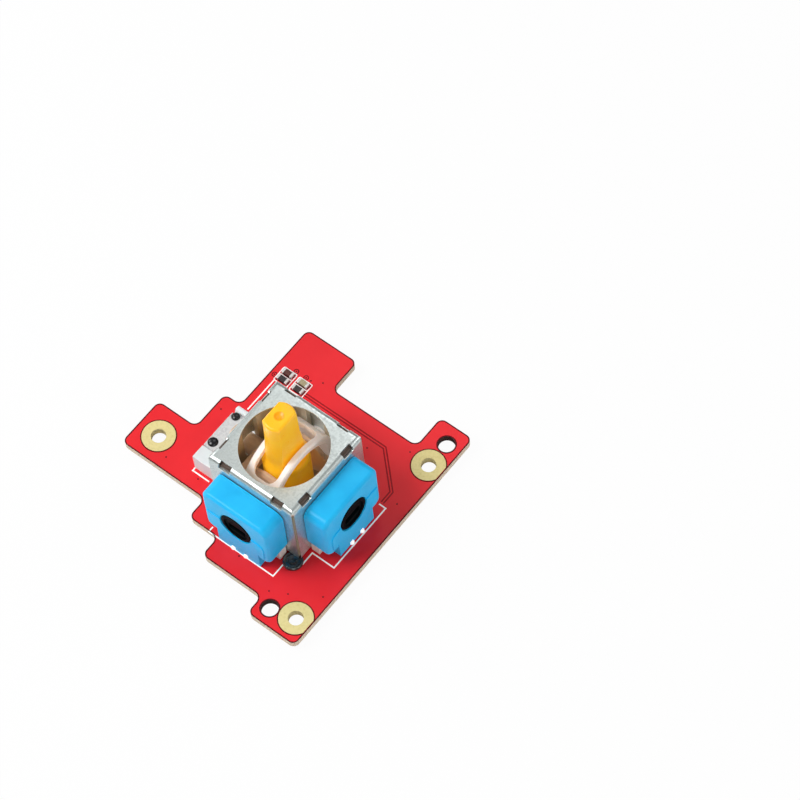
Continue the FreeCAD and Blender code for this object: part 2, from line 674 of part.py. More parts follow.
def make_base_housing():
    """Moulded base: a floor, four walls with cradles for the shafts, latches and a switch bracket."""
    housing = Piece("base_housing", module_place)
    roof = cover_top - size.cover_wall
    inside = half_housing - size.housing_wall
    housing.pad("z", 0, roof, centred(half_housing, half_housing))
    housing.chamfer(size.cover_bend - size.cover_wall, lambda edge: flat_at(edge, roof))
    housing.cut("z", size.housing_floor, roof, centred(inside, inside))
    half_latch = size.window_length / 2 - size.latch_gap
    latch_low = cover_top - size.window_drop + size.latch_gap
    latch_high = latch_low + size.latch_height
    for side in sides:
        middle = size.window_spacing / 2 * side
        for outer in sides:
            near_in, near_out = sorted((inside * outer, (half_cover - size.latch_inset) * outer),
                                       key=lambda place: place.value)
            low, high = middle - half_latch, middle + half_latch
            housing.pad("z", latch_low, latch_high, rectangle(low, high, near_in, near_out))
            housing.pad("z", latch_low, latch_high, rectangle(near_in, near_out, low, high))
    cradle = size.shaft_radius + size.cradle_gap
    axis_level = size.pivot_height
    for axis in ("x", "y"):
        housing.cut(axis, -half_housing, half_housing, rectangle(-cradle, cradle, axis_level, roof))
        housing.cut(axis, -half_housing, half_housing, circle(cradle, 0, axis_level))
    pressed = axis_level - size.press_room
    housing.cut("x", -half_housing, -inside, rectangle(-cradle, cradle, pressed, axis_level))
    housing.cut("x", -half_housing, -inside, circle(cradle, 0, pressed))
    # Bracket with a square corner block and a round boss, one on each side of the switch
    block_end = -(size.bracket_half_width - size.bracket_block)
    boss_start = size.bracket_half_width - size.bracket_boss
    housing.pad("z", 0, size.bracket_height,
                rectangle(-size.bracket_reach, -inside, -size.bracket_half_width, block_end))
    boss_middle = size.bracket_half_width - size.bracket_boss / 2
    boss_top = size.bracket_height - size.bracket_boss / 2
    housing.pad("z", 0, boss_top,
                rectangle(-size.bracket_reach, -inside, boss_start, size.bracket_half_width))
    housing.pad("x", -size.bracket_reach, -inside, circle(size.bracket_boss / 2, boss_middle, boss_top))
    return housing


def make_lower_yoke():
    """Lower yoke: an open frame with two round ears for the stick's pins and a shaft at each end."""
    yoke = Piece("lower_yoke", pivot_place)
    tall = size.frame_half_height
    for outer in sides:
        ends = sorted((size.frame_inside * outer, size.frame_outside * outer), key=lambda place: place.value)
        if outer < 0:
            yoke.pad("y", -size.ear_outside, -size.ear_inside, rectangle(-size.frame_outside,
                                                                         size.frame_outside, -tall, tall))
            yoke.pad("y", size.ear_inside, size.ear_outside, rectangle(-size.frame_outside,
                                                                       size.frame_outside, -tall, tall))
        yoke.pad("x", ends[0], ends[1], rectangle(-size.ear_outside, size.ear_outside, -tall, tall))
    for outer in sides:
        ends = sorted((size.ear_inside * outer, size.ear_outside * outer), key=lambda place: place.value)
        yoke.pad("y", ends[0], ends[1], circle(size.ear_radius))
    yoke.chamfer(size.ear_bevel, is_ear_rim)
    bore = size.pin_radius + size.pin_gap
    yoke.cut("y", -size.ear_outside, size.ear_outside, circle(bore))
    shoulder = size.rotor_back - size.seat_gap * 2
    yoke.pad("x", size.frame_outside, shoulder, circle(size.shaft_radius))
    half_blade, half_width = size.blade_thickness / 2, size.blade_width / 2
    yoke.pad("x", shoulder, size.blade_axis, centred(half_blade, half_width))
    yoke.pad("y", -half_blade, half_blade, circle(half_width, size.blade_axis, 0))
    yoke.pad("x", -size.press_tip_reach, -size.frame_outside, circle(size.shaft_radius))
    return yoke


def is_ear_rim(edge):
    """Whether an edge is the round outer rim of an ear."""
    box = edge.BoundBox
    outside = near(box.YMin, size.ear_outside) or near(box.YMax, -size.ear_outside)
    return outside and box.YLength < TOUCH and edge.Curve.TypeId == "Part::GeomCircle"


def make_upper_yoke():
    """Upper yoke: an arch with a long slot for the stick, on two end plates with shafts."""
    yoke = Piece("upper_yoke", pivot_place)
    outer = size.arch_radius
    inner = outer - size.arch_thickness
    half = size.arch_half_width
    end_in, end_out = size.arch_end_inside, size.arch_end_outside
    spring_line = inner.leg(end_in)
    edge = size.arch_edge
    yoke.turned("x", polygon((-half, inner), (half, inner), (half, outer - edge), (half - edge, outer),
                             (edge - half, outer), (-half, outer - edge)))
    yoke.cut("x", -half, half, rectangle(-outer, outer, -outer, spring_line))
    yoke.cut("x", -half, half, rectangle(-outer, -end_out, spring_line, outer))
    yoke.cut("x", -half, half, rectangle(end_out, outer, spring_line, outer))
    slot_x, slot_y = size.arch_slot_half_width, size.arch_slot_half_length
    yoke.cut("z", 0, outer, centred(slot_x, slot_y))
    corners = [(slot_x * x, slot_y * y) for x in sides for y in sides]
    yoke.fillet(size.arch_slot_round, lambda edge: at_corner(edge, corners))
    plate_top = outer.leg(end_out)
    yoke.pad("y", end_in, end_out, rectangle(-half, half, -size.frame_half_height, plate_top))
    yoke.pad("y", -end_out, -end_in, rectangle(-half, half, -size.frame_half_height, plate_top))
    shoulder = size.rotor_back - size.seat_gap * 2
    yoke.pad("y", -shoulder, -end_out, circle(size.shaft_radius))
    half_blade, half_width = size.blade_thickness / 2, size.blade_width / 2
    yoke.pad("y", -size.blade_axis, -shoulder, centred(half_blade, half_width))
    yoke.pad("x", -half_blade, half_blade, circle(half_width, -size.blade_axis, 0))
    yoke.pad("y", end_out, half_housing, circle(size.shaft_radius))
    return yoke


def make_stem():
    """The stick: a post with two flats, a waisted neck and a hollow skirt with two hinge pins."""
    stem = Piece("stem", pivot_place)
    stem.turned("z", polygon(
        (0, size.post_top), (size.post_radius, size.post_top),
        (size.post_foot_radius, size.post_foot_height), (size.neck_radius, size.neck_height),
        (size.shoulder_top_radius, size.shoulder_top), (size.skirt_radius, size.skirt_top),
        (size.skirt_radius, -size.skirt_drop), (size.bore_radius, -size.skirt_drop),
        (size.bore_radius, size.bore_top), (0, size.bore_top)))
    flat, far = size.post_flat_half_width, size.skirt_radius * 2
    for outer in sides:
        low, high = sorted((flat * outer, far * outer), key=lambda place: place.value)
        stem.cut("z", size.flats_end, size.post_top, rectangle(low, high, -far, far))
    stem.fillet(size.post_bevel, lambda edge: flat_at(edge, size.post_top))
    stem.cut("z", size.post_top - size.dimple_depth, size.post_top, circle(size.dimple_radius))
    pin_root = (size.skirt_radius + size.bore_radius) / 2
    stem.pad("y", pin_root, size.ear_outside, circle(size.pin_radius))
    stem.pad("y", -size.ear_outside, -pin_root, circle(size.pin_radius))
    return stem


def make_return_spring():
    """Coil spring from the top of the stick's bore to the foot's flange, its wire drawn with eight sides."""
    spring = Piece("return_spring", pivot_place)
    wire = size.wire_radius
    low = wire + size.press_room - size.foot_flange_top
    side = wire * OCTAGON_SIDE
    octagon = [(wire, side), (side, wire), (-side, wire), (-wire, side),
               (-wire, -side), (-side, -wire), (side, -wire), (wire, -side)]
    sketch = spring.sketch("y", [polygon(*((size.spring_radius + x, low + z) for x, z in octagon))], 0)
    coil = spring.body.newObject("PartDesign::AdditiveHelix", spring.name("coil"))
    coil.Profile = sketch
    coil.ReferenceAxis = (sketch, ["V_Axis"])
    coil.Mode = "height-turns-angle"
    coil.setExpression("Height", (size.bore_top - wire - low).text)
    coil.setExpression("Turns", size.spring_turns.text)
    coil.Angle = 0
    doc.recompute()
    return spring


def make_spring_foot():
    """Foot that the spring holds down on the floor: a pilot, a flange and a domed sole."""
    foot = Piece("spring_foot", pivot_place)
    flange_top = -size.foot_flange_top
    flange_low = flange_top - size.foot_flange_thickness
    sole = size.pivot_height - size.housing_floor - size.foot_gap
    foot.turned("z", polygon(
        (0, flange_top + size.foot_pilot_length),
        (size.foot_pilot_radius, flange_top + size.foot_pilot_length),
        (size.foot_pilot_radius, flange_top), (size.foot_flange_radius, flange_top),
        (size.foot_flange_radius, flange_low), (size.foot_radius, flange_low),
        *((size.foot_radius * share, -sole.leg(size.foot_radius * share)) for share in SOLE_SHARES),
        (0, -sole)))
    return foot


def make_sensor_housing(side):
    """Blue housing of a tilt sensor: a rounded box, open at its back, on a narrower foot."""
    housing = Piece(f"{side}_housing", module_place, SENSOR_TURNS[side])
    wide, face, top = size.sensor_half_width, size.sensor_face, sensor_top
    step, foot = sensor_step, size.sensor_foot_half_width
    housing.pad("x", sensor_back, face, polygon(
        (-wide, step), (-foot, step), (-foot, 0), (foot, 0),
        (foot, step), (wide, step), (wide, top), (-wide, top)))
    housing.cut("z", 0, step, rectangle(sensor_back, size.sensor_foot_back, -foot, foot))
    rounded = [(-wide, step), (wide, step), (wide, top), (-wide, top)]
    housing.fillet(size.sensor_round, lambda edge: along_at(edge, "x", rounded))
    housing.fillet(size.sensor_rim, lambda edge: is_front_rim(edge, face, top))
    through = face + size.plateau_lift
    plateau_top = size.pivot_height + size.plateau_rise
    near_end = size.plateau_near * NEAR_SIDES[side]
    ends = sorted((near_end, -size.plateau_far * NEAR_SIDES[side]), key=lambda place: place.value)
    housing.pad("x", face, through, rectangle(ends[0], ends[1], step + size.sensor_round, plateau_top))
    housing.fillet(size.plateau_round, lambda edge: along_at(edge, "x", [(near_end, plateau_top)]))
    housing.pad("x", face, through, rectangle(-foot, foot, 0, step + size.sensor_round))
    inner, hollow_face = wide - size.sensor_wall, face - size.sensor_front_wall
    housing.cut("x", sensor_back, hollow_face,
                rectangle(-inner, inner, step + size.sensor_wall, top - size.sensor_wall))
    seat = size.carrier_half_width + size.seat_gap
    housing.cut("x", sensor_back, sensor_back + size.carrier_thickness + size.seat_gap,
                rectangle(-seat, seat, step, step + size.sensor_wall))
    foot_inside = foot - size.sensor_wall
    housing.cut("x", sensor_back, hollow_face,
                rectangle(-foot_inside, foot_inside, 0, step + size.sensor_wall))
    housing.cut("x", hollow_face, through, circle(size.rotor_window, 0, size.pivot_height))
    sill = size.pivot_height - size.window_sill
    half_sill = size.rotor_window.leg(size.window_sill) + size.seat_gap
    housing.pad("x", hollow_face, through,
                rectangle(-half_sill, half_sill, size.pivot_height - size.rotor_window - size.seat_gap, sill))
    half_notch = size.notch_width / 2
    for y in sides:
        middle = size.notch_half_spacing * y
        housing.cut("x", hollow_face, through,
                    rectangle(middle - half_notch, middle + half_notch, 0, size.notch_height))
    return housing


def along_at(edge, axis, places):
    """Whether an edge runs along X at one of the given places across it."""
    box = edge.BoundBox
    return runs_along(edge, axis) and any(near(box.YMin, y) and near(box.ZMin, z) for y, z in places)


def is_front_rim(edge, face, top):
    """Whether an edge is part of the upper rim of a sensor's front face."""
    box = edge.BoundBox
    return near(box.XMin, face) and near(box.XMax, face) and box.ZMax > top.value / 2


def make_sensor_carrier(side):
    """White back plate of a sensor, with a hole for the shaft and two feet on the board."""
    carrier = Piece(f"{side}_back_plate", module_place, SENSOR_TURNS[side])
    front = sensor_back + size.carrier_thickness
    high = sensor_top - size.sensor_wall - size.seat_gap
    half, foot = size.carrier_half_width, size.carrier_foot_half_width
    carrier.pad("x", sensor_back, front, rectangle(-half, half, 0, high))
    foot_high = sensor_step - size.seat_gap
    toe = half - size.carrier_thickness
    for y in sides:
        low, tall = sorted((toe * y, foot * y), key=lambda place: place.value)
        carrier.pad("z", 0, foot_high, rectangle(sensor_back, size.carrier_foot_front, low, tall))
    carrier.cut("x", sensor_back, front,
                circle(size.shaft_radius + size.carrier_hole_gap, 0, size.pivot_height))
    return carrier


def make_sensor_element(side):
    """Resistive element: a flat plate in front of the carrier, with a hole for the rotor's hub."""
    element = Piece(f"{side}_element", module_place, SENSOR_TURNS[side])
    back = sensor_back + size.carrier_thickness
    half = size.element_half_width
    low = sensor_step + size.sensor_wall + size.seat_gap
    high = sensor_top - size.sensor_wall - size.seat_gap
    element.pad("x", back, back + size.element_thickness, rectangle(-half, half, low, high))
    element.cut("x", back, back + size.element_thickness, circle(size.element_hole, 0, size.pivot_height))
    return element


def make_sensor_rotor(side):
    """Black rotor: a hub on the yoke's blade, a flange and a dished, slotted nose in the window."""
    rotor = Piece(f"{side}_rotor", pivot_place, SENSOR_TURNS[side])
    rotor.turned("x", polygon(
        (size.rotor_back, 0), (size.rotor_back, size.rotor_hub), (size.rotor_flange_back, size.rotor_hub),
        (size.rotor_flange_back, size.rotor_flange), (size.rotor_flange_front, size.rotor_flange),
        (size.rotor_flange_front, size.rotor_nose), (size.rotor_face, size.rotor_nose), (size.rotor_face, 0)))
    gap = size.key_gap
    rotor.cut("x", size.rotor_back, size.blade_axis + size.blade_width / 2 + gap,
              centred(size.blade_thickness / 2 + gap, size.blade_width / 2 + gap))
    dish = size.rotor_face - size.rotor_dish_depth
    rotor.cut("x", dish, size.rotor_face, circle(size.rotor_dish))
    rotor.cut("x", dish - size.rotor_slot_depth, dish,
              centred(size.rotor_slot_width / 2, size.rotor_slot_height / 2, 0, -size.rotor_slot_drop))
    return rotor


def make_sensor_wiper(side):
    """Sheet metal wiper on the back of the rotor's flange, with two contacts."""
    wiper = Piece(f"{side}_wiper", pivot_place, SENSOR_TURNS[side])
    front = size.rotor_flange_back
    back = front - size.wiper_thickness
    touch = sensor_back + size.carrier_thickness + size.element_thickness + size.contact_gap
    wiper.pad("x", back, front, circle(size.wiper_outside), circle(size.wiper_inside))
    middle = (size.wiper_outside + size.wiper_inside) / 2
    for y in sides:
        wiper.pad("x", touch, back, circle(size.contact_radius, middle * y, 0))
    return wiper


def make_sensor_terminals(side):
    """Three bent terminal strips of a sensor, soldered through the board."""
    strips = []
    reach = sensor_back + size.carrier_thickness
    half_thick, half_wide = size.pin_thickness / 2, size.pin_width / 2
    bend_top = sensor_step - size.seat_gap * 2
    bend_low = bend_top - size.pin_thickness
    for index, (x, y) in enumerate(sensor_pins):
        strip = Piece(f"{side}_terminal_{index + 1}", module_place, SENSOR_TURNS[side])
        strip.pad("y", y - half_wide, y + half_wide, polygon(
            (x - half_thick, tail_end), (x + half_thick, tail_end), (x + half_thick, bend_top),
            (reach, bend_top), (reach, bend_low), (x - half_thick, bend_low)))
        strips.append(strip)
    return group(f"{side}_terminals", strips)


def make_switch_body():
    """Switch body with a round well for the dome and two staked pegs."""
    body = Piece("switch_body", module_place)
    body.pad("z", 0, size.switch_height,
             rectangle(-size.switch_outer, -size.switch_inner, -size.switch_low, size.switch_high))
    body.cut("z", size.switch_well_floor, size.switch_height,
             circle(size.switch_well, -size.plunger_reach, 0))
    peg_top = size.switch_height + size.switch_plate + size.stake_lift
    for x, y in stakes:
        body.pad("z", size.switch_height, peg_top, circle(size.stake_radius, x, y))
    return body


def make_switch_plate():
    """Thin metal plate over the switch, folded down along its outer edge."""
    plate = Piece("switch_plate", module_place)
    low, high = size.switch_height, size.switch_height + size.switch_plate
    side_low, side_high = size.plate_low_inset - size.switch_low, size.switch_high - size.plate_high_inset
    fold = size.switch_outer + size.switch_plate
    plate.pad("z", low, high, rectangle(-fold, -size.switch_inner, side_low, side_high))
    plate.pad("x", -fold, -size.switch_outer,
              rectangle(side_low, side_high, high - size.switch_plate_drop, high))
    plate.fillet(size.switch_plate, lambda edge: runs_along(edge, "y") and near(edge.BoundBox.XMin, -fold)
                 and near(edge.BoundBox.ZMin, high))
    for x, y in stakes:
        plate.cut("z", low, high, circle(size.stake_radius + size.stake_gap, x, y))
    plate.cut("z", low, high, circle(size.plunger_radius + size.plunger_gap, -size.plunger_reach, 0))
    return plate


def make_switch_plunger():
    """Plunger of the switch, with a flange held under the plate."""
    plunger = Piece("switch_plunger", plunger_place)
    flange_top = size.plunger_flange_top
    plunger.turned("z", polygon(
        (0, flange_top - size.plunger_flange_thickness),
        (size.plunger_flange, flange_top - size.plunger_flange_thickness), (size.plunger_flange, flange_top),
        (size.plunger_radius, flange_top), (size.plunger_radius, plunger_top), (0, plunger_top)))
    plunger.chamfer(size.plunger_bevel, lambda edge: flat_at(edge, plunger_top))
    return plunger


def make_switch_dome():
    """Snap dome in the switch's well, a shallow cone of thin spring steel."""
    dome = Piece("switch_dome", plunger_place)
    low = size.switch_well_floor
    rim, thick = size.dome_radius, size.dome_thickness
    crown = low + size.dome_rise
    dome.turned("z", polygon((rim - thick, low), (rim, low), (rim / 2, crown + thick / 2), (0, crown + thick),
                             (0, crown), (rim / 2, crown - thick / 2)))
    return dome


def make_switch_terminals():
    """Four terminal strips under the switch, soldered through the board."""
    strips = []
    for index, (x, y) in enumerate(switch_pins):
        strip = Piece(f"switch_terminal_{index + 1}", module_place)
        strip.pad("z", tail_end, 0, centred(size.pin_thickness / 2, size.pin_width / 2, x, y))
        strips.append(strip)
    return group("switch_terminals", strips)


def make_solder_disc():
    """Round of solder against the cover's front leg, on the board."""
    leg_x, leg_y = legs[1]
    disc = Piece("solder_disc", module_place)
    x, middle = leg_x + size.solder_disc_shift, leg_y - size.solder_disc_offset
    disc.pad("z", 0, size.solder_disc_height, circle(size.solder_disc_radius, x, middle))
    far = size.solder_disc_radius * 2
    disc.cut("z", 0, size.solder_disc_height, rectangle(x - far, x + far, -half_cover, middle + far))
    disc.chamfer(size.solder_disc_height / 2,
                 lambda edge: flat_at(edge, size.solder_disc_height) and edge.Curve.TypeId != "Part::GeomLine")
    return disc


def make_solder_joints():
    """Solder cones under the board, one round each tail."""
    cones = []
    under = -size.board_thickness
    tip = under - size.fillet_height
    strip = (size.pin_thickness / 2, size.pin_width / 2)
    turned_strip = (size.pin_width / 2, size.pin_thickness / 2)
    leg = (size.leg_width / 2, size.cover_wall / 2)
    tails = [(place, strip) for place in pin_places[:len(sensor_pins)]]
    tails += [(place, turned_strip) for place in pin_places[len(sensor_pins):len(sensor_pins) * 2]]
    tails += [(place, strip) for place in pin_places[len(sensor_pins) * 2:]]
    tails += [(place, leg) for place in leg_places]
    for index, ((x, y), (half_x, half_y)) in enumerate(tails):
        cone = Piece(f"solder_cone_{index + 1}", (x, y, board_top))
        cone.turned("z", polygon(
            (0, under), (size.fillet_radius, under), (size.fillet_tip_radius, tip), (0, tip)))
        cone.cut("z", tip, under, centred(half_x, half_y))
        cones.append(cone)
    return group("solder_joints", cones)


def group(label, pieces):
    """Several separate solids of one kind in one node."""
    compound = doc.addObject("Part::Compound", label)
    compound.Label = label
    compound.Links = [piece.body for piece in pieces]
    doc.recompute()
    return compound


stakes = (
    (-(size.switch_outer - size.stake_inset), -size.stake_low),
    (-(size.switch_outer - size.stake_inset), size.stake_high),
)
plunger_x, plunger_y = on_board(-size.plunger_reach, as_size(0))
plunger_place = (plunger_x, plunger_y, board_top)
plunger_top = size.pivot_height - size.shaft_radius - size.press_gap

nodes = [make_circuit_board()]
nodes += [make_screw_pad(side) for side in pads]
nodes += [make_chip(index) for index in range(4)]
nodes += [make_base_housing(), make_top_cover(), make_lower_yoke(), make_upper_yoke()]
nodes += [make_stem(), make_return_spring(), make_spring_foot()]
for sensor in SENSOR_TURNS:
    nodes += [make_sensor_carrier(sensor), make_sensor_element(sensor), make_sensor_wiper(sensor)]
    nodes += [make_sensor_rotor(sensor), make_sensor_housing(sensor), make_sensor_terminals(sensor)]
nodes += [make_switch_body(), make_switch_dome(), make_switch_plunger(), make_switch_plate()]
nodes += [make_switch_terminals(), make_solder_disc(), make_solder_joints()]

# Every object is up to date and every node is whole before anything is written
doc.recompute()
for item in doc.Objects:
    if "Invalid" in item.State or "Error" in item.State:
        raise RuntimeError(f"{item.Name} failed: {item.State}")
for node in nodes:
    part = node.body if isinstance(node, Piece) else node
    if part.Shape.isNull() or not part.Shape.isValid():
        raise RuntimeError(f"{part.Label} has no valid shape")
    if isinstance(node, Piece) and len(part.Shape.Solids) != 1:
        raise RuntimeError(f"{part.Label} has {len(part.Shape.Solids)} solids")
for node in nodes:
    part = node.body if isinstance(node, Piece) else node
    part.Shape.exportStep(f"parts/{part.Label}.step")
    print(part.Label, len(part.Shape.Solids), round(part.Shape.Volume, 3))
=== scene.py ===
"""Analog stick of a game controller on its red circuit board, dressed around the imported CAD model.

Every length is in metres in the frame of the CAD model: +Z up, the origin under the middle of the board.
Sizes in field names that end in _mm are millimetres. Flat patterns on the board are measured from the
axis of the stick, as its maker's drawing would give them.
"""
import logging
import math
from dataclasses import dataclass, field
from enum import Enum

import bmesh
import bpy
import numpy as np
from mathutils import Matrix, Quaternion, Vector

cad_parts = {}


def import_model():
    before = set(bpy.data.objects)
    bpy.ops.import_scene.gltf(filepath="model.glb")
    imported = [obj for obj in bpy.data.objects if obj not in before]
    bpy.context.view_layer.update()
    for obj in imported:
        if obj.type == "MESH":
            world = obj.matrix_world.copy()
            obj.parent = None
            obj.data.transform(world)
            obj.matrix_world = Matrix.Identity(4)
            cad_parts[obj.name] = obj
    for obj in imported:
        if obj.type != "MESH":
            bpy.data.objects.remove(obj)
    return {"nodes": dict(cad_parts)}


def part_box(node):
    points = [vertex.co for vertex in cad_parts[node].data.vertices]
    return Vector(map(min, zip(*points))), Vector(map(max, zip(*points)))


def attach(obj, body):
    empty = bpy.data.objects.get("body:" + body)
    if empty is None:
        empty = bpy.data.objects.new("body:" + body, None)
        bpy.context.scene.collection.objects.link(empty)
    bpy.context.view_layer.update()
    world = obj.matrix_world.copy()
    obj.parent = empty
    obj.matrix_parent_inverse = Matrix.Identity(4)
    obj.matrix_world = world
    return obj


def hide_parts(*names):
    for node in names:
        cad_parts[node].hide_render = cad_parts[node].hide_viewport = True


LOG = logging.getLogger("analog_stick")
MM = 0.001

# Corners of a mesh that stand closer than this are one corner
CAD_WELD = 1e-3 * MM
GRID_WELD = 1e-4 * MM

# Faces of a CAD mesh whose angle in degrees is under this lie in one plane
SAME_PLANE = 0.5

# Angles in degrees up to which faces look rounded: on moulded and bent pieces, on solder, on wire
CRISP, SOFT, WIRE = 35.0, 50.0, 60.0

# Points in one turn of a round piece, from the smallest to the largest
TINY, SMALL, MIDDLING, LARGE, WIDE = 24, 32, 40, 64, 96

# Sockets of the Mix node when it mixes colours
SHARE, UNDER, OVER, MIXED = 0, 6, 7, 2

# Octaves of an even grain, and of one with finer spots inside it
EVEN, BROKEN = 2.0, 3.0

Grid = np.ndarray
Place = tuple[float, float]
Span = tuple[float, float]
Socket = bpy.types.NodeSocket
Finish = bpy.types.Material


class Body(Enum):
    """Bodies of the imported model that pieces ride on."""

    ROOT = "root"
    X_ROTOR = "x_rotor"
    LOWER_YOKE = "lower_yoke"
    STEM = "stem"
    FOOT = "foot"
    UPPER_YOKE = "upper_yoke"
    PLUNGER = "plunger"


class Pad(Enum):
    """Plated screw pads of the board."""

    LEFT = "screw_pad_left"
    RIGHT = "screw_pad_right"
    LOWER = "screw_pad_lower"


class Sensor(Enum):
    """Tilt sensors of the module, named for the axis that each one turns about."""

    X = "x_sensor"
    Y = "y_sensor"


def linear(colour: str) -> tuple[float, float, float, float]:
    """Turns an sRGB hex colour into the linear colour that a shader reads.

    Args:
        colour: six hex digits after a hash sign.

    Returns:
        Red, green, blue and an alpha of one.
    """
    channels = (int(colour[i:i + 2], 16) / 255 for i in (1, 3, 5))
    red, green, blue = (c / 12.92 if c <= 0.04045 else ((c + 0.055) / 1.055) ** 2.4 for c in channels)
    return red, green, blue, 1.0


class Nodes:
    """A node tree that nodes are added to."""

    def __init__(self, tree: bpy.types.NodeTree) -> None:
        """Keeps the tree of a material or the world."""
        self.tree = tree

    def feed(self, node: bpy.types.Node, inputs: dict) -> None:
        """Gives each named or numbered input of a node a link or a plain value.

        Args:
            node: the node to set.
            inputs: input name or index to either an output socket or a plain value.
        """
        for key, value in inputs.items():
            if isinstance(value, Socket):
                self.tree.links.new(value, node.inputs[key])
            else:
                node.inputs[key].default_value = value

    def add(self, kind: str, inputs: dict | tuple = (), out: int | str = 0, **settings) -> Socket:
        """Adds one node with its settings and links.

        Args:
            kind: the node's type name, without the word ShaderNode before it.
            inputs: sockets or plain values by input name or index, or in order.
            out: name or index of the output that is wanted.
            settings: attributes of the node, such as operation.

        Returns:
            That output's socket.
        """
        node = self.tree.nodes.new(f"ShaderNode{kind}")
        for name, value in settings.items():
            setattr(node, name, value)
        self.feed(node, inputs if isinstance(inputs, dict) else dict(enumerate(inputs)))
        return node.outputs[out]


class Shade(Nodes):
    """The node tree of one material, with its Principled shader already linked."""

    def __init__(self, name: str) -> None:
        """Makes a material with one Principled shader.

        Args:
            name: the material's name.
        """
        self.material = bpy.data.materials.new(name)
        self.material.use_nodes = True
        super().__init__(self.material.node_tree)
        self.shader = self.tree.nodes["Principled BSDF"]
        self.place = self.add("TexCoord", out="Object")

    def set(self, **values) -> None:
        """Feeds the shader's own sockets, with underscores for the spaces in their names."""
        self.feed(self.shader, {key.replace("_", " "): value for key, value in values.items()})

    def grain(self, size_mm: float, detail: float = BROKEN, stretch: tuple = (1, 1, 1)) -> Socket:
        """Pattern of spots of a real size on the piece.

        Args:
            size_mm: width of a spot.
            detail: octaves of the noise.
            stretch: how many times closer the spots stand along each axis.

        Returns:
            The noise value's socket.
        """
        spread = self.add("Mapping", {"Vector": self.place, "Scale": stretch})
        return self.add("TexNoise", {"Vector": spread, "Scale": 1 / (size_mm * MM), "Detail": detail}, "Fac")


@dataclass(frozen=True)
class Moulded:
    """Injection moulded plastic: an even colour, a soft gloss and the faint ripple of the mould's face.

    Attributes:
        name: the material's name.
        colour: the plastic's own colour.
        shade: the colour of its slightly darker flow marks.
        roughness: of the mould's finish.
        glow: share of the light that passes under the surface.
        reach_mm: how far that light travels.
        glow_reach: share of that reach for red, green and blue.
        ripple_mm: depth of the mould's ripple.
        ior: index of refraction.
        gloss: strength of the clear reflection, a half as a rule.
        lit: painted glow, an emission of the plastic's own colour at this strength, standing in for light
            that passes on from behind.
        flow_mm: width of a flow mark.
        pore_mm: width of a duller pore.
        wave_mm: width of the ripple.
        flow_span: noise values from no flow mark to a full one.
        pore_span: noise values from the smoothest pore to the roughest.
        pore_change: what those two pores add to the roughness.
    """

    name: str
    colour: str
    shade: str
    roughness: float = 0.38
    glow: float = 0.0
    reach_mm: float = 0.5
    glow_reach: tuple[float, float, float] = (1.0, 0.6, 0.4)
    ripple_mm: float = 0.004
    ior: float = 1.49
    gloss: float = 0.5
    lit: float = 0.0
    flow_mm: float = 2.6
    pore_mm: float = 0.22
    wave_mm: float = 0.55
    flow_span: Span = (0.35, 0.7)
    pore_span: Span = (0.3, 0.7)
    pore_change: Span = (-0.05, 0.07)

    def material(self) -> Finish:
        """Builds the material.

        Returns:
            The finished material.
        """
        shade = Shade(self.name)
        flow = shade.add("MapRange", (shade.grain(self.flow_mm), *self.flow_span))
        colours = {SHARE: flow, UNDER: linear(self.colour), OVER: linear(self.shade)}
        rough = (self.roughness + change for change in self.pore_change)
        shade.set(Base_Color=shade.add("Mix", colours, MIXED, data_type="RGBA"),
                  Roughness=shade.add("MapRange", (shade.grain(self.pore_mm, EVEN), *self.pore_span, *rough)),
                  IOR=self.ior, Subsurface_Weight=self.glow, Subsurface_Radius=self.glow_reach,
                  Subsurface_Scale=self.reach_mm * MM, Specular_IOR_Level=self.gloss,
                  Emission_Color=linear(self.colour), Emission_Strength=self.lit)
        wave = {"Height": shade.grain(self.wave_mm), "Distance": self.ripple_mm * MM}
        shade.set(Normal=shade.add("Bump", wave))
        return shade.material


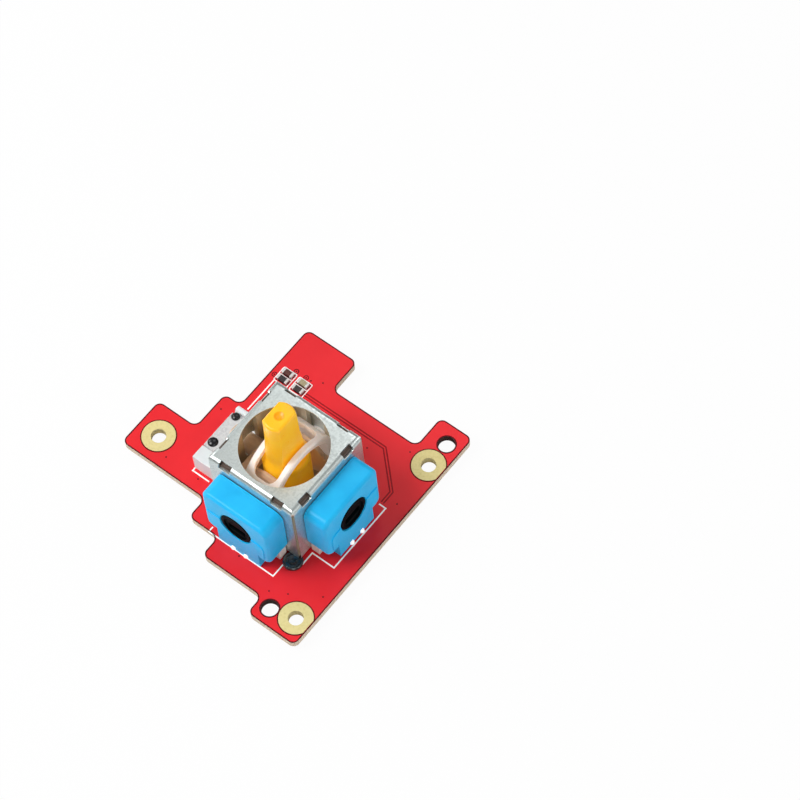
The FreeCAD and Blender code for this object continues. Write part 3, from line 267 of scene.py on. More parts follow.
@dataclass(frozen=True)
class PlatedSheet:
    """Rolled steel sheet with a bright plating: a fine mottle of the rolls and a clear mirror of the room.

    The marks of the rolls are finer than a picture shows, so the specks are drawn a few times as wide.

    Attributes:
        name: the material's name.
        colour: reflected colour of the plating.
        mottle: colour of the duller specks.
        roughness: of the plating.
        speck_mm: size of a speck.
        share: how much of the dull colour shows in a speck.
        bare: one for bare metal, less where a dull passivation covers it.
        cloud_mm: width of a patch with more specks in it.
        speck_span: noise values from no speck to a full one.
        cloud_span: noise values from the fewest specks to the most.
        fewest: how much of a speck is left where they are fewest.
        dulled: what a full speck adds to the roughness.
        dent_share: width of a dent, as a share of a speck's.
        dent_mm: depth of a dent.
    """

    name: str
    colour: str
    mottle: str
    roughness: float = 0.3
    speck_mm: float = 0.28
    share: float = 0.8
    bare: float = 1.0
    cloud_mm: float = 2.4
    speck_span: Span = (0.42, 0.62)
    cloud_span: Span = (0.35, 0.65)
    fewest: float = 0.5
    dulled: float = 0.16
    dent_share: float = 1.6
    dent_mm: float = 0.0015

    def material(self) -> Finish:
        """Builds the material.

        Returns:
            The finished material.
        """
        shade = Shade(self.name)
        specks = shade.add("MapRange", (shade.grain(self.speck_mm), *self.speck_span, 0.0, self.share))
        clouds = shade.add("MapRange", (shade.grain(self.cloud_mm), *self.cloud_span, self.fewest, 1.0))
        dull = shade.add("Math", (specks, clouds), operation="MULTIPLY")
        colours = {SHARE: dull, UNDER: linear(self.colour), OVER: linear(self.mottle)}
        rough = (self.roughness, self.roughness + self.dulled)
        shade.set(Base_Color=shade.add("Mix", colours, MIXED, data_type="RGBA"), Metallic=self.bare,
                  Roughness=shade.add("MapRange", (specks, 0.0, 1.0, *rough)))
        dents = {"Height": shade.grain(self.speck_mm * self.dent_share, EVEN), "Distance": self.dent_mm * MM}
        shade.set(Normal=shade.add("Bump", dents))
        return shade.material


@dataclass(frozen=True)
class LacqueredBoard:
    """Glass-fibre board under red solder mask: wet gloss on both faces, and a routed edge of bare fibres.

    Attributes:
        name: the material's name.
        mask: colour of the solder mask.
        deep: colour where the mask pools.
        fibre: colour of the cut fibres.
        layer: colour between the layers of glass cloth.
        layer_mm: thickness of one layer.
        pool_mm: width of a pool in the mask.
        bundle_mm: width of a bundle of cut fibres.
        weave_mm: distance between the yarns of the cloth, which the mask follows.
        weave_depth_mm: depth of the weave in the mask.
        rough: roughness of the routed edge and of the mask.
        pool_span: noise values from no pool to a full one.
        torn_span: shares of a layer between which its fibres are torn.
        along: how closely the weave's spots stand along a yarn, against across it.
        bundle_stretch: the same of the cut fibres, which lie along the board.
        level: least Z of the normal on a face that the mask covers.
        mask_gloss: strength of the mask's clear reflection.
    """

    name: str
    mask: str
    deep: str
    fibre: str
    layer: str
    layer_mm: float = 0.18
    pool_mm: float = 7.0
    bundle_mm: float = 0.35
    weave_mm: float = 0.5
    weave_depth_mm: float = 0.0025
    rough: Span = (0.85, 0.36)
    pool_span: Span = (0.3, 0.75)
    torn_span: Span = (0.3, 0.6)
    along: float = 0.3
    bundle_stretch: tuple[float, float, float] = (1, 1, 4)
    level: float = 0.5
    mask_gloss: float = 0.3

    def material(self) -> Finish:
        """Builds the material.

        Returns:
            The finished material.
        """
        shade = Shade(self.name)
        facing = shade.add("SeparateXYZ", (shade.add("TexCoord", out="Normal"),), "Z")
        upright = shade.add("Math", (facing,), operation="ABSOLUTE")
        flat = shade.add("Math", (upright, self.level), operation="GREATER_THAN")
        pool = shade.add("MapRange", (shade.grain(self.pool_mm), *self.pool_span))
        pooled = {SHARE: pool, UNDER: linear(self.mask), OVER: linear(self.deep)}
        height = shade.add("SeparateXYZ", (shade.place,), "Z")
        layers = shade.add("Math", (height, self.layer_mm * MM), operation="DIVIDE")
        bands = shade.add("MapRange", (shade.add("Math", (layers,), operation="FRACT"), *self.torn_span))
        bundles = shade.grain(self.bundle_mm, stretch=self.bundle_stretch)
        torn = shade.add("Math", (bands, bundles), operation="MULTIPLY")
        routed = {SHARE: torn, UNDER: linear(self.fibre), OVER: linear(self.layer)}
        faces = {SHARE: flat, UNDER: shade.add("Mix", routed, MIXED, data_type="RGBA"),
                 OVER: shade.add("Mix", pooled, MIXED, data_type="RGBA")}
        shade.set(Base_Color=shade.add("Mix", faces, MIXED, data_type="RGBA"),
                  Specular_IOR_Level=self.mask_gloss,
                  Roughness=shade.add("MapRange", (flat, 0.0, 1.0, *self.rough)))
        yarns = tuple(shade.grain(self.weave_mm, EVEN, stretch) for stretch in
                      ((1, self.along, 1), (self.along, 1, 1)))
        cloth = {"Height": shade.add("Math", yarns, operation="ADD"), "Distance": self.weave_depth_mm * MM}
        shade.set(Normal=shade.add("Bump", cloth))
        return shade.material


@dataclass(frozen=True)
class Coat:
    """A printed or plated film, such as ink, mask over copper or gold: flat, thinner in fine specks.

    Attributes:
        name: the material's name.
        colour: the film's colour.
        thin: its colour where it is thin.
        roughness: of its surface.
        metallic: one for bare metal.
        speck_mm: size of its specks.
        gloss: strength of the clear reflection, a half as a rule.
        lit: painted glow, an emission of the film's own colour at this strength, standing in for light
            scattered in its layers.
        speck_span: noise values from no speck to a full one.
        dulled: what a full speck adds to the roughness.
        dent_share: width of a dent, as a share of a speck's.
        dent_mm: depth of a dent.
    """

    name: str
    colour: str
    thin: str
    roughness: float
    metallic: float = 0.0
    speck_mm: float = 0.3
    gloss: float = 0.5
    lit: float = 0.0
    speck_span: Span = (0.45, 0.75)
    dulled: float = 0.12
    dent_share: float = 0.7
    dent_mm: float = 0.002

    def material(self) -> Finish:
        """Builds the material.

        Returns:
            The finished material.
        """
        shade = Shade(self.name)
        specks = shade.add("MapRange", (shade.grain(self.speck_mm), *self.speck_span))
        colours = {SHARE: specks, UNDER: linear(self.colour), OVER: linear(self.thin)}
        rough = (self.roughness, self.roughness + self.dulled)
        shade.set(Base_Color=shade.add("Mix", colours, MIXED, data_type="RGBA"),
                  Metallic=self.metallic, Specular_IOR_Level=self.gloss,
                  Emission_Color=linear(self.colour), Emission_Strength=self.lit,
                  Roughness=shade.add("MapRange", (specks, 0.0, 1.0, *rough)))
        dents = {"Height": shade.grain(self.speck_mm * self.dent_share, EVEN), "Distance": self.dent_mm * MM}
        shade.set(Normal=shade.add("Bump", dents))
        return shade.material


@dataclass(frozen=True)
class ChipCeramic:
    """Fired chip part: a matt ceramic body and a tinned cap over each end, told apart along X.

    Attributes:
        name: the material's name.
        colour: the body's colour.
        fleck: the body's grain.
        middle: place of the chip's middle along X, in metres.
        body_half_mm: half of the body that shows between the caps.
        cap: colour of the tinned caps.
        cap_metal: how much of a cap looks like bare metal.
        rough: roughness of the body and of a cap.
        fleck_mm: size of the body's grain.
        fleck_span: noise values from no fleck to a full one.
        pit_mm: width of a pit in the surface.
        pit_depth_mm: depth of a pit.
    """

    name: str
    colour: str
    fleck: str
    middle: float
    body_half_mm: float = 0.48
    cap: str = "#D6D4D0"
    cap_metal: float = 0.6
    rough: Span = (0.6, 0.3)
    fleck_mm: float = 0.12
    fleck_span: Span = (0.4, 0.7)
    pit_mm: float = 0.1
    pit_depth_mm: float = 0.004

    def material(self) -> Finish:
        """Builds the material.

        Returns:
            The finished material.
        """
        shade = Shade(self.name)
        across = shade.add("SeparateXYZ", (shade.place,), "X")
        off = shade.add("Math", (across, self.middle), operation="SUBTRACT")
        away = shade.add("Math", (off,), operation="ABSOLUTE")
        cap = shade.add("Math", (away, self.body_half_mm * MM), operation="GREATER_THAN")
        flecks = shade.add("MapRange", (shade.grain(self.fleck_mm, EVEN), *self.fleck_span))
        body = {SHARE: flecks, UNDER: linear(self.colour), OVER: linear(self.fleck)}
        both = {SHARE: cap, UNDER: shade.add("Mix", body, MIXED, data_type="RGBA"), OVER: linear(self.cap)}
        shade.set(Base_Color=shade.add("Mix", both, MIXED, data_type="RGBA"),
                  Metallic=shade.add("Math", (cap, self.cap_metal), operation="MULTIPLY"),
                  Roughness=shade.add("MapRange", (cap, 0.0, 1.0, *self.rough)))
        pits = {"Height": shade.grain(self.pit_mm, EVEN), "Distance": self.pit_depth_mm * MM}
        shade.set(Normal=shade.add("Bump", pits))
        return shade.material


@dataclass(frozen=True)
class LatchedNylon:
    """Moulded base: grey outside, and painted shade under the cover: olive inside it and dark round its
    latches.

    Attributes:
        name: the material's name.
        outside: colour of the bracket beside the cover.
        inside: colour under the cover, the pale plastic darkened to olive by painted shade and painted warm
            light from the stick.
        latch_shade: painted shade on the latches and the top of the walls, where they sit in the cover's
            windows.
        axis: x and y of the stick's axis, in metres.
        latches_from: height where the latches start, in metres.
        half_mm: half the width of the space under the cover.
        well_half_mm: half the width of the space inside the walls.
        wave_mm: width of the mould's ripple.
        ripple_mm: depth of the mould's ripple.
    """

    name: str
    outside: str
    inside: str
    latch_shade: str
    axis: Place
    latches_from: float
    half_mm: float = 6.6
    well_half_mm: float = 5.9
    wave_mm: float = 0.4
    ripple_mm: float = 0.006

    def material(self) -> Finish:
        """Builds the material.

        Returns:
            The finished material.
        """
        shade = Shade(self.name)
        across, along, height = (shade.add("SeparateXYZ", (shade.place,), name) for name in "XYZ")
        off = [shade.add("Math", pair, operation="SUBTRACT") for pair in zip((across, along), self.axis)]
        both = tuple(shade.add("Math", (value,), operation="ABSOLUTE") for value in off)
        away = shade.add("Math", both, operation="MAXIMUM")
        outer, walls, above = (shade.add("Math", pair, operation="GREATER_THAN") for pair in
                               ((away, self.half_mm * MM), (away, self.well_half_mm * MM),
                                (height, self.latches_from)))
        # Painted shade: olive under the cover, and dark on the latches and wall tops in the cover's windows
        high = shade.add("Math", (above, walls), operation="MULTIPLY")
        plain = {SHARE: outer, UNDER: linear(self.inside), OVER: linear(self.outside)}
        shaded_latches = {SHARE: high, UNDER: shade.add("Mix", plain, MIXED, data_type="RGBA"),
                 OVER: linear(self.latch_shade)}
        shade.set(Base_Color=shade.add("Mix", shaded_latches, MIXED, data_type="RGBA"), Roughness=0.5,
                  Specular_IOR_Level=0.4, Subsurface_Weight=0.1, Subsurface_Scale=0.4 * MM)
        wave = {"Height": shade.grain(self.wave_mm), "Distance": self.ripple_mm * MM}
        shade.set(Normal=shade.add("Bump", wave))
        return shade.material


@dataclass(frozen=True)
class StakedPlastic:
    """White moulded switch body whose pegs were melted flat with a hot tool, which left them dark.

    Attributes:
        name: the material's name.
        colour: the white plastic.
        shade: its flow marks.
        burnt: the dark, melted pegs.
        above: height where the pegs start, in metres.
        rough: roughness of the plastic and of the pegs.
        flow_mm: width of a flow mark.
        flow_span: noise values from no flow mark to a full one.
        wave_mm: width of the mould's ripple.
        ripple_mm: depth of the mould's ripple.
    """

    name: str
    colour: str
    shade: str
    burnt: str
    above: float
    rough: Span = (0.45, 0.25)
    flow_mm: float = 1.2
    flow_span: Span = (0.35, 0.7)
    wave_mm: float = 0.3
    ripple_mm: float = 0.006

    def material(self) -> Finish:
        """Builds the material.

        Returns:
            The finished material.
        """
        shade = Shade(self.name)
        flow = shade.add("MapRange", (shade.grain(self.flow_mm), *self.flow_span))
        white = {SHARE: flow, UNDER: linear(self.colour), OVER: linear(self.shade)}
        height = shade.add("SeparateXYZ", (shade.place,), "Z")
        peg = shade.add("Math", (height, self.above), operation="GREATER_THAN")
        both = {SHARE: peg, UNDER: shade.add("Mix", white, MIXED, data_type="RGBA"), OVER: linear(self.burnt)}
        shade.set(Base_Color=shade.add("Mix", both, MIXED, data_type="RGBA"), IOR=1.49,
                  Roughness=shade.add("MapRange", (peg, 0.0, 1.0, *self.rough)))
        wave = {"Height": shade.grain(self.wave_mm), "Distance": self.ripple_mm * MM}
        shade.set(Normal=shade.add("Bump", wave))
        return shade.material


def mesh_of(name: str, grid: Grid, wrap_rows: bool = False, caps: bool = True) -> bpy.types.Mesh:
    """Makes a closed mesh from a grid of points whose columns go round.

    Args:
        name: the mesh's name.
        grid: points as rows, columns and three coordinates, each row one ring.
        wrap_rows: joins the last ring to the first.
        caps: closes the first and last ring, where they aren't joined.

    Returns:
        The mesh, with its faces outwards.
    """
    rows, columns = grid.shape[:2]
    index = np.arange(rows * columns).reshape(rows, columns)
    if wrap_rows:
        index = np.vstack([index, index[:1]])
    after = np.roll(index, -1, axis=1)
    quads = np.stack([index[:-1], after[:-1], after[1:], index[1:]], axis=-1).reshape(-1, 4)
    faces = quads.tolist()
    if caps and not wrap_rows:
        faces += [index[0].tolist(), index[-1][::-1].tolist()]
    mesh = bpy.data.meshes.new(name)
    mesh.from_pydata(grid.reshape(-1, 3).tolist(), [], faces)
    work = bmesh.new()
    work.from_mesh(mesh)
    bmesh.ops.remove_doubles(work, verts=work.verts, dist=GRID_WELD)
    bmesh.ops.recalc_face_normals(work, faces=work.faces)
    work.to_mesh(mesh)
    work.free()
    return mesh


def turned(profile: Grid, centre: Place, around: int) -> Grid:
    """Surface of revolution: a profile of radius and height turned about an upright line.

    A point's x and y are the line's, plus the radius of its row times the cosine and the sine of its
    column's angle. Its z is the height of its row. The angles are spread evenly over a full turn.

    Args:
        profile: rows of radius and height, in metres.
        centre: x and y of the upright line, in metres.
        around: points in one turn.

    Returns:
        A grid of points, one ring for each row of the profile.
    """
    turn = np.linspace(0, 2 * math.pi, around, endpoint=False)
    radius, height = profile[:, :1], profile[:, 1:]
    return np.stack([centre[0] + radius * np.cos(turn), centre[1] + radius * np.sin(turn),
                     np.broadcast_to(height, (len(profile), around))], axis=-1)


def carried(path: Grid, profile: Grid, closed: bool = False) -> Grid:
    """Profile carried along a flat path, square to it and widened at each mitre.

    A point is its row's point of the path, moved sideways by its column's offset and up by its column's
    height. Sideways halves the path's turn, and the offset is divided by the cosine of half that turn.

    Args:
        path: x and y of the path's points, in metres.
        profile: rows of sideways offset and height, in metres, going round once.
        closed: whether the path's last point joins its first.

    Returns:
        A grid of points, one ring for each point of the path.
    """
    leg = np.roll(path, -1, axis=0) - path
    leg /= np.linalg.norm(leg, axis=1, keepdims=True)
    before = np.roll(leg, 1, axis=0)
    if not closed:
        before[0], leg[-1] = leg[0], before[-1]
    middle = leg + before
    middle /= np.linalg.norm(middle, axis=1, keepdims=True)
    mitre = np.sum(middle * leg, axis=1, keepdims=True)
    side = np.stack([-middle[:, 1], middle[:, 0]], axis=1) / mitre
    flat = path[:, None, :] + side[:, None, :] * profile[None, :, :1]
    height = np.broadcast_to(profile[None, :, 1:], (len(path), len(profile), 1))
    return np.concatenate([flat, height], axis=2)


def rounded(corners: Grid, radius: float, steps: int = 5) -> Grid:
    """Closed path round a rectangle whose corners are arcs.

    A point is the middle of its corner's arc plus the radius times the cosine and sine of its angle.

    Args:
        corners: lowest and highest x and y as rows, in metres.
        radius: radius of the arcs, in metres.
        steps: points in one arc.

    Returns:
        Rows of x and y, anticlockwise.
    """
    (x_low, y_low), (x_high, y_high) = corners
    centres = np.array([(x_high - radius, y_high - radius), (x_low + radius, y_high - radius),
                        (x_low + radius, y_low + radius), (x_high - radius, y_low + radius)])
    turn = np.linspace(0, math.pi / 2, steps) + np.arange(4)[:, None] * math.pi / 2
    arcs = centres[:, None, :] + radius * np.stack([np.cos(turn), np.sin(turn)], axis=-1)
    return arcs.reshape(-1, 2)


def film(width: float, low: float, high: float, shoulder: float = 0.2) -> Grid:
    """Section of a thin printed line: flat underneath, with its upper corners worn off.

    Args:
        width: full width, in metres.
        low: height of its underside, in metres.
        high: height of its top, in metres.
        shoulder: share of the half width that slopes.

    Returns:
        Rows of sideways offset and height, going round once.
    """
    half = width / 2
    inner = half * (1 - shoulder)
    return np.array([(-half, low), (half, low), (half, (low + high) / 2), (inner, high), (-inner, high),
                     (-half, (low + high) / 2)])


def dome(radius: float, height: float, steps: int) -> Grid:
    """Section of a flat-bottomed dome: out along its base and up a quarter of an ellipse to its top.

    A row's radius and height are the dome's times the cosine and the sine of an angle up to a right angle.

    Args:
        radius: of the base, in metres.
        height: of the top, in metres.
        steps: points in the quarter.

    Returns:
        Rows of radius and height.
    """
    rise = np.linspace(0, math.pi / 2, steps)
    arc = np.stack([radius * np.cos(rise), height * np.sin(rise)], axis=1)
    return np.vstack([[(0, 0)], arc])


class Workbench:
    """Turns meshes into pieces of the model: places, dresses and reports each one."""

    def __init__(self) -> None:
        """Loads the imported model."""
        self.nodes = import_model()["nodes"]
        low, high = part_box("top_cover")
        self.axis = ((low.x + high.x) / 2, (low.y + high.y) / 2)
        self.board_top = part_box("circuit_board")[1].z

    def from_axis(self, places: tuple) -> Grid:
        """Places in millimetres from the stick's axis.

        Args:
            places: x and y, or rows of them.

        Returns:
            The same places in metres, in the frame of the model.
        """
        return np.array(places, float) * MM + np.array(self.axis)

    def piece(self, mesh: bpy.types.Mesh, body: Body, finish: Finish, slot: str,
              smooth: float = CRISP) -> bpy.types.Object:
        """Adds a new piece that rides on a body.

        Args:
            mesh: its mesh, in place.
            body: the body it rides on.
            finish: its material.
            slot: not used.
            smooth: angle between faces, in degrees, up to which they look rounded.

        Returns:
            The piece.
        """
        made = bpy.data.objects.new(mesh.name, mesh)
        bpy.context.scene.collection.objects.link(made)
        mesh.materials.clear()
        mesh.materials.append(finish)
        mesh.shade_smooth()
        mesh.set_sharp_from_angle(angle=math.radians(smooth))
        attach(made, body.value)
        LOG.info("%s rides on %s", made.name, body.value)
        return made

    def spun(self, name: str, profile: Grid, place: Place, around: int, body: Body, finish: Finish,
             slot: str, ring: bool = False, smooth: float = CRISP) -> bpy.types.Object:
        """Adds a piece that is a profile turned about an upright line.

        Args:
            name: the piece's name.
            profile: rows of radius and height, in metres, from the line out and back to it.
            place: x and y of the line, in metres.
            around: points in one turn.
            body: the body it rides on.
            finish: its material.
            slot: not used.
            ring: whether the profile goes round once, clear of the line.
            smooth: angle up to which faces look rounded.

        Returns:
            The piece.
        """
        mesh = mesh_of(name, turned(profile, place, around), wrap_rows=ring, caps=False)
        return self.piece(mesh, body, finish, slot, smooth)

    def softened(self, node: str, body: Body, finish: Finish, slot: str,
                 edge_mm: float = 0.0, smooth: float = CRISP) -> bpy.types.Object:
        """Dresses a copy of a CAD node whose sharp corners get a small round, as a real tool leaves.

        Args:
            node: the node that the copy stands for.
            body: the body it rides on.
            finish: its material.
            slot: not used.
            edge_mm: width of the rounds, or none.
            smooth: angle up to which faces look rounded.

        Returns:
            The copy.
        """
        mesh = self.nodes[node].data.copy()
        mesh.name = f"{node}_finished"
        work = bmesh.new()
        work.from_mesh(mesh)
        bmesh.ops.remove_doubles(work, verts=work.verts, dist=CAD_WELD)
        plane = math.radians(SAME_PLANE)
        bmesh.ops.dissolve_limit(work, angle_limit=plane, verts=work.verts, edges=work.edges)
        work.to_mesh(mesh)
        work.free()
        made = self.piece(mesh, body, finish, slot, smooth)
        if edge_mm:
            bevel = made.modifiers.new("rounds", "BEVEL")
            bevel.width = edge_mm * MM
            bevel.segments = 2
            bevel.limit_method = "ANGLE"
            bevel.angle_limit = math.radians(smooth)
            bevel.harden_normals = True
        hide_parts(node)
        return made

    def dress(self, node: str, finish: Finish) -> None:
        """Gives a CAD node that is shown as it is its material.

        Args:
            node: the node's name.
            finish: its material.
        """
        mesh = self.nodes[node].data
        mesh.materials.clear()
        mesh.materials.append(finish)
        LOG.info("%s dressed in %s", node, finish.name)


@dataclass
class PrintedBoard:
    """The red circuit board with its mask, ink, copper runs, plated holes and edge line.

    The sections of a via are shares of its radius and of its height. An upper face's normal has a Z of
    more than upward.
    """

    bench: Workbench
    upward: float = 0.9
    ink_mm: float = 0.19
    ink_rise_mm: float = 0.02
    sunk_mm: float = 0.01
    run_mm: float = 0.17
    run_gap_mm: float = 0.36
    rim_mm: float = 0.16
    mask_gap_mm: float = 0.16
    ring_rise_mm: float = 0.012
    ring_overlap_mm: float = 0.02
    via_radius_mm: float = 0.11
    pad_via_radius_mm: float = 0.36
    via_rise_mm: float = 0.02
    via_dot: tuple = ((0, -0.3), (1, -0.3), (1, 0.25), (0.72, 1.0), (0.4, 0.6), (0, 0.5))
    via_ring: tuple = ((0.72, -0.3), (1, -0.3), (1, 0.8), (0.72, 0.8))
    box_margin_mm: float = 0.25
    box_upper_margin_mm: float = 0.175
    box_ink_mm: float = 0.14
    box_round_mm: float = 0.16
    screw_hole_mm: float = 1.0
    peg_hole_mm: float = 1.14
    wall_mm: float = 0.03
    wall_overlap_mm: float = 0.01
    peg_holes_mm: tuple = ((11.305, 16.89), (7.85, -14.11))
    outlines_mm: tuple = (
        ((-4.95, -9.7), (-4.95, -10.47), (5.4, -10.47), (5.4, -8.4)),
        ((7.3, -7.3), (7.3, -5.08), (10.75, -5.08), (10.75, 5.22), (9.7, 5.22)),
        ((-9.4, -5.08), (-12.1, -5.08), (-12.1, -4.6)),
        ((-12.1, 5.82), (-12.1, 11.1)),
    )
    run_route_mm: tuple = ((-7.6, 12.04), (5.4, 12.04), (10.1, 7.52), (10.1, 5.6))
    vias_mm: tuple = (
        (-16.05, -5.63), (-14.87, 3.84), (-10.78, -5.62), (0.25, -10.86), (6.29, -12.36), (8.44, -11.27),
        (12.16, -9.0), (8.27, 13.3), (11.51, 6.55), (3.56, 10.52), (-8.22, 13.84), (-6.8, 14.52),
    )
    pad_vias_mm: tuple = ((-10.6, 13.82), (-9.0, 13.82), (-12.6, 11.82))

    def build(self) -> None:
        """Dresses the board and adds everything that is printed or plated on it."""
        lacquer = LacqueredBoard("solder_mask_red", "#F0262E", "#E7212A", "#E2D2BD", "#C2A78C")
        self.bench.dress("circuit_board", lacquer.material())
        gold = Coat("immersion_gold", "#E6D694", "#DACB87", 0.5, 0.1).material()
        for pad in Pad:
            self.bench.dress(pad.value, gold)
        # Mask over copper is darker than over bare board, and thin mask darker still
        copper = Coat("mask_over_copper", "#9A121C", "#870E17", 0.4, gloss=0.15).material()
        dark = Coat("thin_mask", "#5A0C12", "#6B1017", 0.5, gloss=0.15).material()
        self.add_rim(dark)
        self.add_pad_rings(dark)
        self.add_runs(copper)
        self.add_vias(dark)
        # The plain holes' walls are painted nearly black as shade inside the hole, and the screw holes show
        # their plating
        self.add_hole_walls(Coat("hole_wall_painted_shade", "#2A1D1B", "#3B2824", 0.5).material(),
                            Coat("plated_wall", "#D6C996", "#BFB384", 0.5).material())
        # Screen printed ink is thick and scatters light; a painted glow keeps it bright from every side
        self.add_ink(Coat("silk_ink", "#FBF8F6", "#F6ECE9", 0.55, lit=0.15).material())

    def pad_circle(self, pad: Pad) -> tuple[Place, float]:
        """Finds the circle of a screw pad, which the board's end may cut off on its right side.

        Args:
            pad: the screw pad.

        Returns:
            X and y of its middle, and its radius, in metres.
        """
        low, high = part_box(pad.value)
        radius = (high.y - low.y) / 2
        return (low.x + radius, low.y + radius), radius

    def line(self, name: str, path: Grid, width_mm: float, finish: Finish, closed: bool = False) -> None:
        """Adds one printed line on the board's upper face.

        Args:
            name: the piece's name.
            path: rows of x and y, in metres.
            width_mm: the line's width.
            finish: its material.
            closed: whether it closes on itself.
        """
        top = self.bench.board_top
        section = film(width_mm * MM, top - self.sunk_mm * MM, top + self.ink_rise_mm * MM)
        mesh = mesh_of(name, carried(path, section, closed), wrap_rows=closed)
        self.bench.piece(mesh, Body.ROOT, finish, "solder_mask")

    def add_rim(self, finish: Finish) -> None:
        """Adds the dark line where the mask ends along the board's outline and holes.

        It is the board's upper face, kept only in a band along its edges and lifted by the ink's height.

        Args:
            finish: its material.
        """
        work = bmesh.new()
        work.from_mesh(self.bench.nodes["circuit_board"].data)
        bmesh.ops.remove_doubles(work, verts=work.verts, dist=CAD_WELD)
        top = self.bench.board_top - self.sunk_mm * MM
        away = [face for face in work.faces
                if face.calc_center_median().z < top or face.normal.z < self.upward]
        bmesh.ops.delete(work, geom=away, context="FACES")
        band = bmesh.ops.inset_region(work, faces=work.faces, thickness=self.rim_mm * MM, use_boundary=True,
                                      use_even_offset=True)["faces"]
        kept = set(band)
        bmesh.ops.delete(work, geom=[face for face in work.faces if face not in kept], context="FACES")
        mesh = bpy.data.meshes.new("mask_rim")
        work.to_mesh(mesh)
        work.free()
        rim = self.bench.piece(mesh, Body.ROOT, finish, "solder_mask")
        wall = rim.modifiers.new("height", "SOLIDIFY")
        wall.thickness = self.ink_rise_mm * MM
        wall.offset = 1.0

    def add_pad_rings(self, finish: Finish) -> None:
        """Adds the ring of bare mask round each plated screw hole, cut off where the board ends.

        Args:
            finish: its material.
        """
        top = self.bench.board_top
        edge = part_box("circuit_board")[1].x
        low, high = top - self.sunk_mm * MM, top + self.ring_rise_mm * MM
        for pad in Pad:
            centre, radius = self.pad_circle(pad)
            inner, outer = radius - self.ring_overlap_mm * MM, radius + self.mask_gap_mm * MM
            section = np.array([(inner, low), (outer, low), (outer, high), (inner, high)])
            ring = turned(section, centre, WIDE)
            ring[..., 0] = np.minimum(ring[..., 0], edge - self.sunk_mm * MM)
            mesh = mesh_of(pad.value.replace("screw_pad", "mask_ring"), ring, wrap_rows=True)
            self.bench.piece(mesh, Body.ROOT, finish, "solder_mask")

    def add_runs(self, finish: Finish) -> None:
        """Adds the two copper runs that leave the chips and turn down to the right sensor.

        Args:
            finish: their material.
        """
        route = self.bench.from_axis(self.run_route_mm)
        inner = carried(route, np.array([(-self.run_gap_mm * MM, 0.0)]))[:, 0, :2]
        for number, path in enumerate((route, inner), start=1):
            self.line(f"copper_run_{number}", path, self.run_mm, finish)

    def add_vias(self, finish: Finish) -> None:
        """Adds the tented vias: low dots, and beside the chips a ring round the dot.

        Args:
            finish: their material.
        """
        vias = [(self.via_dot, self.via_radius_mm, place) for place in self.vias_mm + self.pad_vias_mm]
        vias += [(self.via_ring, self.pad_via_radius_mm, place) for place in self.pad_vias_mm]
        for number, (shape, radius_mm, place) in enumerate(vias, start=1):
            profile = np.array(shape) * (radius_mm * MM, self.via_rise_mm * MM) + (0, self.bench.board_top)
            self.bench.spun(f"via_{number}", profile, self.bench.from_axis(place), TINY, Body.ROOT, finish,
                            "solder_mask", ring=shape is self.via_ring)

    def add_hole_walls(self, plain: Finish, plated: Finish) -> None:
        """Adds the wall of each hole through the board: painted shade where plain, plated in the screw holes.

        Args:
            plain: painted shade of the two locating holes, nearly black.
            plated: finish of the three screw holes.
        """
        low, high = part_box("circuit_board")
        walls = [(place, self.peg_hole_mm, plain) for place in self.bench.from_axis(self.peg_holes_mm)]
        walls += [(self.pad_circle(pad)[0], self.screw_hole_mm, plated) for pad in Pad]
        for number, (place, radius_mm, finish) in enumerate(walls, start=1):
            outer, inner = (radius_mm + self.wall_overlap_mm) * MM, (radius_mm - self.wall_mm) * MM
            section = np.array([(inner, low.z), (outer, low.z), (outer, high.z), (inner, high.z)])
            self.bench.spun(f"hole_wall_{number}", section, place, LARGE, Body.ROOT, finish, "solder_mask",
                            ring=True)

    def add_ink(self, finish: Finish) -> None:
        """Adds the white outlines of the module's pieces and the boxes round the chips.

        Args:
            finish: their material.
        """
        for number, outline in enumerate(self.outlines_mm, start=1):
            self.line(f"outline_{number}", self.bench.from_axis(outline), self.ink_mm, finish)
        margin, upper_margin = self.box_margin_mm * MM, self.box_upper_margin_mm * MM
        for column, (upper, lower) in enumerate((("chip_1", "chip_3"), ("chip_2", "chip_4")), start=1):
            low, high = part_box(lower)[0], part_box(upper)[1]
            corners = np.array([(low.x - margin, low.y - margin), (high.x + margin, high.y + upper_margin)])
            self.line(f"chip_box_{column}", rounded(corners, self.box_round_mm * MM), self.box_ink_mm, finish,
                      closed=True)
            middle = (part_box(lower)[1].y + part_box(upper)[0].y) / 2
            across = np.array([(corners[0, 0], middle), (corners[1, 0], middle)])
            self.line(f"chip_bar_{column}", across, self.box_ink_mm, finish)


